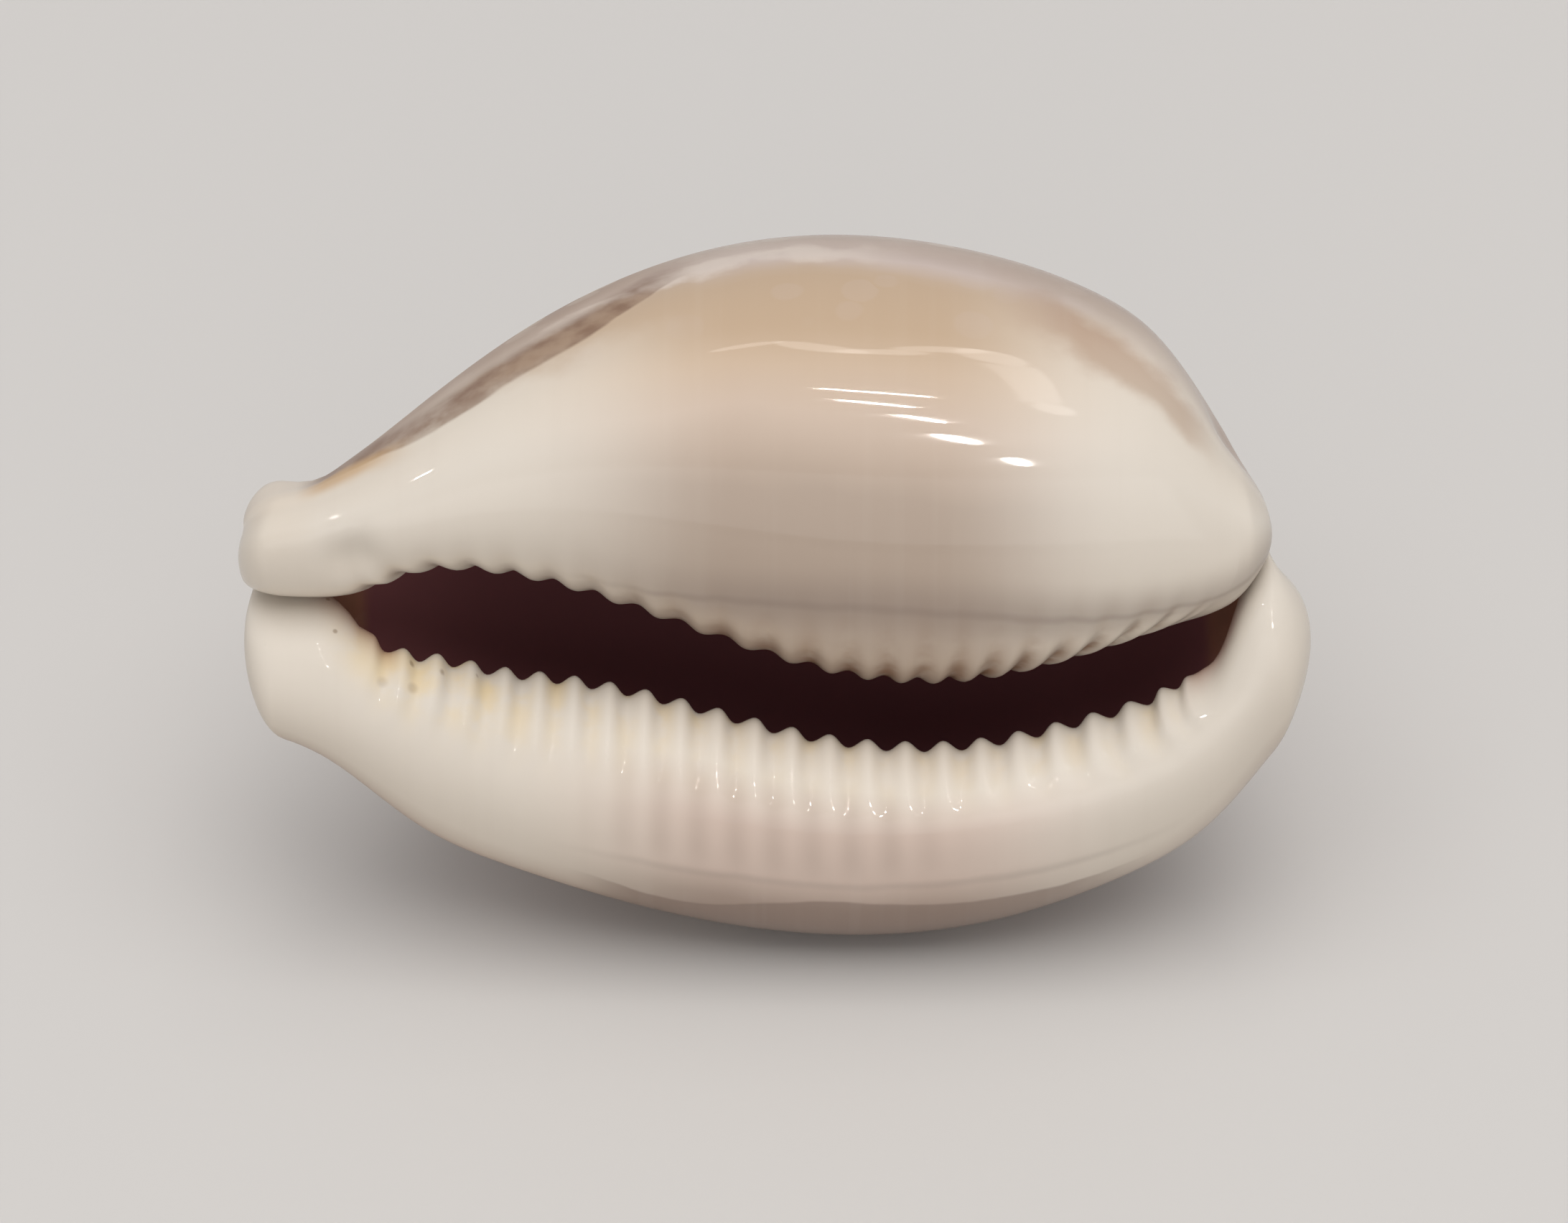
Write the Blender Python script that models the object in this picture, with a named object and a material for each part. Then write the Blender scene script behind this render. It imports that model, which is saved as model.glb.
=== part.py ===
"""A deer cowrie shell, lying on the side of its outer lip with the toothed aperture turned to the front.

The shell is one solid: a thick sheet rolled about its long axis, so that its cross-section is an open ring.
One end of the ring is the columellar lip, which hooks down into the hollow body. The other is the thick outer
lip, here called labial. Front and rear, the ring narrows to the walls of a canal between two beaks.

The shape is laid out in the shell's own frame, in millimetres: X runs from the front end at -X to the rear
end at +X, +Y is the columellar side, -Y the labial side, and +Z the base with the aperture. The finished surface
is then rolled to the way the shell rests, cut flat where it meets the ground, and has its origin under its
middle.

A section of the ring has key points 0 to 16 on the outside: the tip of the columellar hook (0), the
columellar edge (2), crest (4) and margin (6), the back (9), and the labial margin (12), crest (14) and edge
(16). Key points 17 to 31 come back along the cavity, with 32 - k behind k.
"""

import math

import bmesh
import bpy
import numpy as np
from mathutils import Matrix

MM = 0.001
KEYS = 32
HALF_LENGTH = 30.0

# The roll about X in which the shell rests, and the point of the rolled shell that becomes the origin. The
# solid ends at the origin's height, in a small flat spot.
REST_ROLL = math.radians(75.0)
ORIGIN = (0.015, 3.74, -19.0)

# Guide lines of the section along the shell, as (x, value).
GUIDES = {
    "columellar margin y": (
        ((-30, 7.6), (-25, 8.7), (-20, 11.6), (-15, 14.5), (-6, 17.65), (4, 18.4), (12, 17.6), (18, 16.25))
        + ((21.5, 14.35), (24, 11.4), (26.5, 8.6), (30, 7.0))
    ),
    "columellar margin z": (
        ((-30, 6.3), (-25, 6.0), (-15, 3.0), (-5, -0.8), (3, -2.5), (11, -2.0), (18, 0.2), (22, 2.4))
        + ((26, 4.6), (30, 5.6))
    ),
    "columellar crest y": (
        ((-30, 5.6), (-25, 6.4), (-15, 8.6), (-5, 8.2), (5, 6.8), (16, 6.3), (25, 6.2), (30, 6.6))
    ),
    "columellar crest z": (
        ((-30, 8.6), (-22, 9.4), (-12, 10.0), (2, 10.4), (12, 10.1), (20, 9.3), (25, 8.4), (30, 7.2))
    ),
    "columellar edge y": (
        ((-30, 2.4), (-25, 2.0), (-22.5, 2.3), (-20.5, 3.2), (-17, 3.4), (-10, 1.4), (-3, -1.6), (4, -4.0))
        + ((11, -4.2), (17, -2.4), (22, -0.1), (25, 1.8), (26, 2.9), (27, 4.3), (30, 6.0))
    ),
    "columellar edge z": (
        ((-30, 6.0), (-24, 5.8), (-18, 4.8), (-8, 3.8), (4, 3.2), (14, 3.6), (20, 4.6), (23, 5.6), (26, 7.0))
        + ((30, 7.2),)
    ),
    "labial margin y": (
        ((-30, -5.6), (-25, -7.4), (-20, -11.7), (-15, -14.6), (-6, -18.2), (4, -20.0), (13, -18.7))
        + ((20, -15.4), (25, -11.2), (28, -7.2), (30, -5.0))
    ),
    "labial margin z": (
        ((-30, 6.2), (-25, 6.2), (-15, 4.4), (-5, 2.4), (4, 1.4), (14, 2.0), (21, 3.6), (26, 5.0), (30, 5.4))
    ),
    "labial crest y": (
        ((-30, -2.2), (-25, -3.6), (-20, -6.6), (-15, -8.8), (-5, -10.9), (4, -11.8), (13, -10.9), (20, -8.8))
        + ((25, -5.4), (28, -1.4), (30, 0.4))
    ),
    "labial crest z": ((-30, 9.2), (-22, 9.6), (-10, 10.0), (4, 10.2), (16, 10.1), (25, 9.4), (30, 8.4)),
    "labial edge y": (
        ((-30, 2.0), (-26, 1.8), (-24.2, 1.3), (-23, 0.2), (-22, -0.6), (-19, -1.6), (-16, -2.6), (-12, -3.4))
        + ((-5, -4.9), (3, -6.8), (7, -7.2), (11, -7.1), (17, -5.7), (21, -4.1), (23.6, -2.4), (24.7, -1.1))
        + ((25.6, 1.6), (26.4, 3.7), (27.4, 4.9), (28.6, 5.1), (30, 5.0))
    ),
    "labial edge z": (
        ((-30, 4.2), (-26, 4.7), (-24, 5.5), (-22, 6.6), (-18, 6.3), (4, 6.2), (20, 6.2), (23.6, 6.4))
        + ((25.2, 5.9), (26.2, 5.0), (27.2, 4.4), (28.6, 4.1), (30, 4.0))
    ),
    "back y": ((-30, 1.2), (-15, 0.8), (0, 0.4), (15, 0.8), (24, 2.4), (30, 3.0)),
    "back z": (
        ((-30, 1.6), (-27, 0.9), (-24, -1.4), (-20, -6.0), (-14, -12.6), (-8, -17.0), (-2, -19.6), (3, -20.3))
        + ((8, -19.9), (14, -17.6), (19, -13.4), (23, -7.8), (25.5, -3.2), (27.5, -0.2), (30, 1.0))
    ),
    "floor y": ((-30, 2.1), (-25, 2.0), (-18, 1.0), (0, -0.5), (15, 0.0), (23, 1.0), (27, 3.8), (30, 4.2)),
    "floor wall": (
        ((-30, 0.9), (-27, 1.5), (-23, 2.2), (-16, 1.8), (0, 1.7), (14, 1.7), (20, 2.0), (24, 3.0), (27, 2.6))
        + ((30, 1.8),)
    ),
    "cavity side z": (
        ((-30, 3.4), (-25, 3.0), (-20, 2.2), (-12, 0.0), (4, -1.4), (14, -0.8), (20, 0.8), (25, 3.6))
        + ((30, 4.0),)
    ),
    "cavity columellar y": (
        ((-30, 3.2), (-26, 3.4), (-22, 5.8), (-17, 9.4), (-6, 13.8), (4, 14.8), (14, 13.2), (20, 10.4))
        + ((24, 6.2), (27, 5.4), (30, 5.6))
    ),
    "cavity labial y": (
        ((-30, 1.0), (-26, 0.2), (-22, -4.2), (-17, -9.0), (-6, -14.2), (4, -15.9), (13, -14.7), (20, -10.6))
        + ((24, -4.4), (26.4, 0.9), (28, 1.0), (30, -0.2))
    ),
    "cavity arch": (
        ((-30, 0.0), (-26, 0.2), (-20, 4.6), (-10, 9.0), (4, 10.6), (14, 9.2), (20, 4.6), (24, 1.0))
        + ((27, 0.0), (30, 0.0))
    ),
}

# Where the sheet ends, front and rear, at these key points, and how its rim is rounded there.
AROUND = (0, 2, 4, 6, 8, 9, 10, 12, 14, 15, 16)
FRONT_END_X = (-28.0, -28.9, -29.5, -29.2, -28.8, -27.8, -27.6, -28.6, -29.3, -29.1, -28.8)
REAR_END_X = (26.2, 26.8, 27.2, 26.9, 26.6, 26.8, 27.4, 28.7, 29.2, 27.6, 27.0)
RIM_LENGTH = 2.4
RIM_FLAT = 0.08

# Teeth: how many on each lip, where the first and last crests stand on average, and where the crests of each
# lip stand, as (number, x).
TEETH = 24
FIRST_TOOTH_X = -21.4
LAST_TOOTH_X = 23.6
LABIAL_TEETH = ((0, -22.4), (4, -15.0), (12, 0.9), (17, 11.4), (23, 23.7))
COLUMELLAR_TEETH = ((0, -20.4), (4, -12.9), (8, -4.0), (10, 0.8), (17, 13.4), (23, 23.4))
LABIAL_TOOTH_HEIGHT = 0.60
COLUMELLAR_TOOTH_HEIGHT = 0.36

# How far the outward end of a tooth leans along the shell, as (x, lean).
LABIAL_LEAN = ((-30, 0.0), (-22, -1.2), (-10, -0.6), (0, 0.0), (10, 0.5), (18, 1.6), (24, 2.0), (30, 0.0))
COLUMELLAR_LEAN = (
    ((-30, 0.0), (-23, -2.0), (-16, -1.2), (0, 0.0), (8, 1.2), (16, 3.0), (22, 3.4), (27, 1.0), (30, 0.0))
)

# Lumps and hollows of the beaks: centre, reach and height.
SWELLINGS = (
    ((-27.8, 7.2, 2.8), 1.8, 1.0),
    ((-25.6, 8.2, 4.0), 1.6, -0.3),
    ((-23.0, 5.6, 9.0), 1.3, -0.9),
    ((25.4, 9.9, 2.4), 2.2, -0.5),
)

# Section parameters of the outside that the faces' corners stand at.
OUTER_STEPS = (
    (0, 1.0, 1.9, 2.7, 3.3, 3.8, 4.4, 5.0, 5.65, 6.35, 7.05, 7.75, 8.5)
    + (9.35, 10.2, 11.0, 11.85, 12.6, 13.2, 13.8, 14.4, 14.9, 15.3, 15.7, 16)
)


def spline(points):
    """A natural cubic spline through (x, value) points, as a function of an array."""
    x = np.array([p[0] for p in points], float)
    y = np.array([p[1] for p in points], float)
    n = len(x)
    h = np.diff(x)
    system = np.eye(n)
    right = np.zeros(n)
    for i in range(1, n - 1):
        system[i, i - 1 : i + 2] = h[i - 1], 2 * (h[i - 1] + h[i]), h[i]
        right[i] = 6 * ((y[i + 1] - y[i]) / h[i] - (y[i] - y[i - 1]) / h[i - 1])
    bend = np.linalg.solve(system, right)

    def value(at):
        at = np.asarray(at, float)
        i = np.clip(np.searchsorted(x, at) - 1, 0, n - 2)
        a, b = x[i + 1] - at, at - x[i]
        cubic = bend[i] * a**3 / (6 * h[i]) + bend[i + 1] * b**3 / (6 * h[i])
        return cubic + (y[i] / h[i] - bend[i] * h[i] / 6) * a + (y[i + 1] / h[i] - bend[i + 1] * h[i] / 6) * b

    return value


def smooth(value):
    """A smooth step of a value from 0 to 1."""
    value = np.clip(value, 0, 1)
    return value * value * (3 - 2 * value)


LINES = {name: spline(points) for name, points in GUIDES.items()}
FRONT_END = spline(tuple(zip(AROUND, FRONT_END_X)))
REAR_END = spline(tuple(zip(AROUND, REAR_END_X)))
LEAN_OF_LABIAL = spline(LABIAL_LEAN)
LEAN_OF_COLUMELLAR = spline(COLUMELLAR_LEAN)


def quarter(corner_y, corner_z, end_y, end_z, turn, fullness=2.0):
    """A point on the quarter ellipse about a corner: beside it at turn 0, above or below it at turn 1."""
    angle = turn * math.pi / 2
    return (
        corner_y + (end_y - corner_y) * math.cos(angle) ** (2 / fullness),
        corner_z + (end_z - corner_z) * math.sin(angle) ** (2 / fullness),
    )


def bezier(start, start_control, end_control, end, share):
    """A point on a cubic curve, share 0 at its start and 1 at its end."""
    a, b, c, d = (np.array(p, float) for p in (start, start_control, end_control, end))
    rest = 1 - share
    return a * rest**3 + 3 * b * share * rest**2 + 3 * c * share**2 * rest + d * share**3


def tooth_x(xi, teeth):
    """Where the grid line xi stands along a lip, with the n-th crest of both lips on the same grid line."""
    (_, first), (count, last) = teeth[0], teeth[-1]
    number = (xi - FIRST_TOOTH_X) / (LAST_TOOTH_X - FIRST_TOOTH_X) * count
    inside = spline(teeth)(np.clip(number, 0, count))
    front = first + (xi - FIRST_TOOTH_X) * (HALF_LENGTH + first) / (HALF_LENGTH + FIRST_TOOTH_X)
    rear = last + (xi - LAST_TOOTH_X) * (HALF_LENGTH - last) / (HALF_LENGTH - LAST_TOOTH_X)
    return np.where(number < 0, front, np.where(number > count, rear, inside))


def key_x(xi, k, lean):
    """The x of key point k on grid line xi, with its share of the teeth's lean."""
    columellar = smooth((7 - k) / 4)
    labial = smooth((k - 10) / 4)
    x = xi + columellar * (tooth_x(xi, COLUMELLAR_TEETH) - xi) + labial * (tooth_x(xi, LABIAL_TEETH) - xi)
    x += lean * LEAN_OF_COLUMELLAR(xi) * smooth((k - 1.8) / 1.8) * smooth((7 - k) / 3.2)
    x += lean * LEAN_OF_LABIAL(xi) * smooth((15.4 - k) / 1.8) * smooth((k - 10) / 3.4)
    x += smooth((-xi - 20) / 10) * (FRONT_END(k) + HALF_LENGTH)
    x += smooth((xi - 20) / 10) * (REAR_END(k) - HALF_LENGTH)
    return float(x)


def outer_point(x, k):
    """The (y, z) of outer key point k at x."""
    at = {name: float(line(x)) for name, line in LINES.items()}
    back = (at["back y"], at["back z"])
    columellar_crest = (at["columellar crest y"], at["columellar crest z"])
    columellar_margin = (at["columellar margin y"], at["columellar margin z"])
    columellar_edge = (at["columellar edge y"], at["columellar edge z"])
    labial_crest = (at["labial crest y"], at["labial crest z"])
    labial_margin = (at["labial margin y"], at["labial margin z"])
    labial_edge = (at["labial edge y"], at["labial edge z"])
    hook = 4.4 - 3.4 * float(smooth((abs(x) - 17) / 9))
    if k < 2:
        return (
            columellar_edge[0] + (0.28, 0.04)[k] * hook,
            columellar_edge[1] - (1.0, 0.55)[k] * hook,
        )
    if k <= 4:
        return quarter(
            columellar_crest[0], columellar_edge[1], columellar_edge[0], columellar_crest[1], (k - 2) / 2
        )
    if k <= 6:
        return quarter(
            columellar_crest[0], columellar_margin[1], columellar_margin[0], columellar_crest[1], (6 - k) / 2
        )
    if k <= 9:
        return quarter(back[0], columellar_margin[1], columellar_margin[0], back[1], (k - 6) / 3, 2.1)
    if k <= 12:
        return quarter(back[0], labial_margin[1], labial_margin[0], back[1], (12 - k) / 3, 2.1)
    if k <= 14:
        return quarter(labial_crest[0], labial_margin[1], labial_margin[0], labial_crest[1], (k - 12) / 2)
    return quarter(labial_crest[0], labial_edge[1], labial_edge[0], labial_crest[1], (16 - k) / 2)


def inner_point(x, k):
    """The (y, z) at x of the inner partner of outer key point k: the wall of the cavity and of the canals."""
    at = {name: float(line(x)) for name, line in LINES.items()}
    tip = outer_point(x, 0)
    edge = outer_point(x, 16)
    floor = (at["floor y"], at["back z"] + at["floor wall"])
    side_z = at["cavity side z"]
    columellar = (at["cavity columellar y"], side_z)
    labial = (at["cavity labial y"], side_z)
    if k < 6:
        arch = at["cavity arch"]
        return bezier(tip, (tip[0], tip[1] + arch), (columellar[0], side_z + arch), columellar, k / 6)
    if k <= 9:
        return quarter(floor[0], side_z, columellar[0], floor[1], (k - 6) / 3)
    if k <= 12:
        return quarter(floor[0], side_z, labial[0], floor[1], (12 - k) / 3)
    rise, run = edge[1] - side_z, edge[0] - labial[0]
    steep = (labial[0], side_z + 0.55 * rise)
    under = (edge[0] - 0.16 * run, edge[1] - 0.50 * rise)
    return bezier(labial, steep, under, edge, (k - 12) / 4)


def section_keys(xi):
    """The thirty-two key points of the closed section on grid line xi."""
    outer = [(x, *outer_point(x, k)) for k in range(17) for x in [key_x(xi, k, 1)]]
    inner = [(x, *inner_point(x, k)) for k in range(15, 0, -1) for x in [key_x(xi, k, 0)]]
    return np.array(outer + inner)


def curve_controls(keys):
    """B-spline control points whose closed curve passes through the key points."""
    system = np.zeros((KEYS, KEYS))
    for i in range(KEYS):
        system[i, i - 1] = 1 / 6
        system[i, i] = 4 / 6
        system[i, (i + 1) % KEYS] = 1 / 6
    return np.linalg.solve(system, keys)


def closed_curve(controls, t):
    """Points of the closed uniform cubic B-spline at the parameters t."""
    t = np.asarray(t, float) % KEYS
    i = np.floor(t).astype(int)
    f = (t - i)[:, None]
    begin, end = (1 - f) ** 3 / 6, f**3 / 6
    weights = (begin, (3 * f**3 - 6 * f**2 + 4) / 6, (-3 * f**3 + 3 * f**2 + 3 * f + 1) / 6, end)
    return sum(w * controls[(i + j - 1) % KEYS] for j, w in enumerate(weights))


def surface_row(xi, roundness, t):
    """One row of the surface, pinched towards the middle of the sheet by the rim's roundness."""
    controls = curve_controls(section_keys(xi))
    here = closed_curve(controls, t)
    partner = closed_curve(controls, KEYS - t)
    return (here + partner) / 2 + roundness * (here - partner) / 2


def grid_lines(per_tooth, rim_steps, body_steps):
    """(xi, roundness) of every grid line from the front rim to the rear rim."""
    straight = HALF_LENGTH - RIM_LENGTH
    widest = math.acos(RIM_FLAT)
    count = (TEETH - 1) * per_tooth
    turns = [widest * i / rim_steps for i in range(rim_steps, 0, -1)]
    front = [(-straight - RIM_LENGTH * math.sin(turn), math.cos(turn)) for turn in turns]
    rear = [(-xi, roundness) for xi, roundness in reversed(front)]
    body = [-straight + (FIRST_TOOTH_X + straight) * i / body_steps for i in range(body_steps)]
    body += [FIRST_TOOTH_X + (LAST_TOOTH_X - FIRST_TOOTH_X) * i / count for i in range(count)]
    body += [LAST_TOOTH_X + (straight - LAST_TOOTH_X) * i / body_steps for i in range(body_steps + 1)]
    return front + [(xi, 1.0) for xi in body] + rear


def tooth_lift(xi, t):
    """How far the teeth raise or sink the surface, for every grid line xi and section parameter t."""
    number = (xi - FIRST_TOOTH_X) / (LAST_TOOTH_X - FIRST_TOOTH_X) * (TEETH - 1)
    wave = 0.5 + 0.5 * np.cos(2 * math.pi * number)
    labial_ends = smooth((number + 1.2) / 2.2) * smooth((23.9 - number) / 2.2)
    columellar_ends = smooth((number + 1.4) / 1.2) * smooth((22.2 - number) / 2.6)
    labial = smooth((t - 14.2) / 1.9) * smooth((18.6 - t) / 1.6)
    columellar = np.where(t < 16, smooth((3.8 - t) / 1.3), smooth((t - 31.2) / 0.8))
    lift = LABIAL_TOOTH_HEIGHT * np.outer((wave - 0.5) * labial_ends, labial)
    return lift + COLUMELLAR_TOOTH_HEIGHT * np.outer((wave - 0.75) * columellar_ends, columellar)


def surface_grid(per_tooth, rim_steps, body_steps, t):
    """Points of the whole surface, a row for each grid line, with the teeth and swellings raised on it."""
    lines = grid_lines(per_tooth, rim_steps, body_steps)
    rows = np.array([surface_row(xi, roundness, t) for xi, roundness in lines])
    along = np.gradient(rows, axis=0)
    around = np.roll(rows, -1, axis=1) - np.roll(rows, 1, axis=1)
    normal = np.cross(along, around)
    normal /= np.maximum(np.linalg.norm(normal, axis=2, keepdims=True), 1e-9)
    lift = tooth_lift(np.array([line[0] for line in lines]), t)
    for centre, reach, height in SWELLINGS:
        away = np.linalg.norm(rows - np.array(centre), axis=2)
        lift += height * np.exp(-((away / reach) ** 2)) * (t < 16)[None, :]
    lift *= np.array([line[1] for line in lines])[:, None]
    return rows + normal * lift[:, :, None]


def closed_mesh(rows):
    """The solid between the rows, with the thin slots of the first and last rows closed by strips."""
    count, around = rows.shape[:2]
    solid = bmesh.new()
    verts = [[solid.verts.new(point) for point in row] for row in rows]
    for i in range(count - 1):
        for j in range(around):
            k = (j + 1) % around
            solid.faces.new((verts[i][j], verts[i + 1][j], verts[i + 1][k], verts[i][k]))
    for row in (verts[0], verts[-1]):
        for j in range(around // 2):
            strip = (row[j], row[j + 1], row[-j - 1], row[-j])
            solid.faces.new(dict.fromkeys(strip))
    bmesh.ops.recalc_face_normals(solid, faces=solid.faces)
    return solid


def set_down(solid):
    """Rolls the solid to the way it rests, moves it to the origin and cuts it flat at the ground."""
    rolled = Matrix.Translation([-c for c in ORIGIN]) @ Matrix.Rotation(REST_ROLL, 4, "X")
    place = Matrix.Scale(MM, 4) @ rolled
    solid.transform(place)
    everything = list(solid.verts) + list(solid.edges) + list(solid.faces)
    cut = bmesh.ops.bisect_plane(
        solid, geom=everything, dist=1e-7, plane_co=(0, 0, 0), plane_no=(0, 0, 1), clear_inner=True
    )
    rim = [item for item in cut["geom_cut"] if isinstance(item, bmesh.types.BMEdge)]
    bmesh.ops.contextual_create(solid, geom=rim)
    bmesh.ops.recalc_face_normals(solid, faces=solid.faces)


def shell_material():
    """The glossy cream and fawn of the shell, as one even colour."""
    material = bpy.data.materials.new("shell")
    material.use_nodes = True
    surface = material.node_tree.nodes["Principled BSDF"]
    surface.inputs["Base Color"].default_value = (0.57, 0.46, 0.36, 1.0)
    surface.inputs["Roughness"].default_value = 0.22
    return material


def main():
    """Builds the shell as one object."""
    for old in list(bpy.data.objects):
        bpy.data.objects.remove(old)
    inner_steps = [KEYS - t for t in reversed(OUTER_STEPS) if 0 < t < 16]
    rows = surface_grid(4, 3, 2, np.array(list(OUTER_STEPS) + inner_steps))
    solid = closed_mesh(rows)
    set_down(solid)
    mesh = bpy.data.meshes.new("shell")
    solid.to_mesh(mesh)
    solid.free()
    mesh.materials.append(shell_material())
    shell = bpy.data.objects.new("shell", mesh)
    bpy.context.scene.collection.objects.link(shell)


if __name__ == "__main__":
    main()
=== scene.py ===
"""A deer cowrie shell lying on a pale floor, seen from in front and above into its toothed aperture.

The shell's form is laid out in its own frame, in millimetres: X from the front end to the rear end, +Y the
columellar side, -Y the labial side and +Z the base with the aperture. The finished surface is rolled to the
way the shell rests, cut flat at the ground and placed in the row frame, in metres.
"""

import logging
import math
from collections.abc import Callable
from dataclasses import dataclass, field
from enum import Enum

import bmesh
import bpy
import numpy as np
from mathutils import Matrix, Vector
from mathutils.bvhtree import BVHTree


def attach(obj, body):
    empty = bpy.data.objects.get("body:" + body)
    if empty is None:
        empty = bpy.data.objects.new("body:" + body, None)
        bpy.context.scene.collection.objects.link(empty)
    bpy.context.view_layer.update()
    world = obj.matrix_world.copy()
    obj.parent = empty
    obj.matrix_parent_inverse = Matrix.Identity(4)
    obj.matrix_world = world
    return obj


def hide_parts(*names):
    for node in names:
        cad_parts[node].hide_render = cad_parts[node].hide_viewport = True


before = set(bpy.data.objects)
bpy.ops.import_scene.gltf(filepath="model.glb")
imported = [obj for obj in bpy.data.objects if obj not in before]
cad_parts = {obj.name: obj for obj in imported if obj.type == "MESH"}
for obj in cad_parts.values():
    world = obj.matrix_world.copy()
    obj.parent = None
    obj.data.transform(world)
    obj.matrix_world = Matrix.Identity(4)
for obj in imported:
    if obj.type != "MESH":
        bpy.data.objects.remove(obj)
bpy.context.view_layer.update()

MM = 0.001
KEYS = 32
LAST_KEY = 16
HALF_LENGTH = 30.0
TINY = 1e-9
FINISH_REACH = 9.0

Line = tuple[tuple[float, float], ...]
Point = tuple[float, float, float]
Colour = tuple[float, float, float, float]
Stops = tuple[tuple[float, Colour], ...]
Zone = tuple[float, ...]
Grain = tuple[float, float]

log = logging.getLogger("cowrie")


def spline(points: Line):
    """A natural cubic spline.

    Args:
        points: The (x, value) points it passes through.

    Returns:
        A function that gives the value at a number or an array of them.
    """
    x = np.array([p[0] for p in points], float)
    y = np.array([p[1] for p in points], float)
    n = len(x)
    h = np.diff(x)
    system = np.eye(n)
    right = np.zeros(n)
    for i in range(1, n - 1):
        system[i, i - 1 : i + 2] = h[i - 1], 2 * (h[i - 1] + h[i]), h[i]
        right[i] = 6 * ((y[i + 1] - y[i]) / h[i] - (y[i] - y[i - 1]) / h[i - 1])
    bend = np.linalg.solve(system, right)

    def value(at: np.ndarray) -> np.ndarray:
        """The spline's value at each place."""
        at = np.asarray(at, float)
        i = np.clip(np.searchsorted(x, at) - 1, 0, n - 2)
        a, b = x[i + 1] - at, at - x[i]
        cubic = bend[i] * a**3 / (6 * h[i]) + bend[i + 1] * b**3 / (6 * h[i])
        return cubic + (y[i] / h[i] - bend[i] * h[i] / 6) * a + (y[i + 1] / h[i] - bend[i + 1] * h[i] / 6) * b

    return value


def smooth(value: np.ndarray) -> np.ndarray:
    """A smooth step of a value from 0 to 1."""
    value = np.clip(value, 0, 1)
    return value * value * (3 - 2 * value)


def hump(value: np.ndarray, zone: Zone) -> np.ndarray:
    """The smooth share of a zone.

    Args:
        value: The places on the zone's measure.
        zone: Where the share leaves 0 and where it is 1, and then where it leaves 1 and where it is 0
            again. A zone of two numbers doesn't fall again.

    Returns:
        The share at each place.
    """
    share = smooth((value - zone[0]) / (zone[1] - zone[0]))
    return share if len(zone) == 2 else share * smooth((value - zone[3]) / (zone[2] - zone[3]))


def srgb(red: int, green: int, blue: int) -> Colour:
    """A colour from its display values of 0 to 255."""
    linear = [
        channel / 12.92 if channel <= 0.04045 else ((channel + 0.055) / 1.055) ** 2.4
        for channel in (red / 255, green / 255, blue / 255)
    ]
    return (linear[0], linear[1], linear[2], 1.0)


class Lip(Enum):
    """The two toothed lips of the aperture."""

    COLUMELLAR = "columellar"
    LABIAL = "labial"


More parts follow.
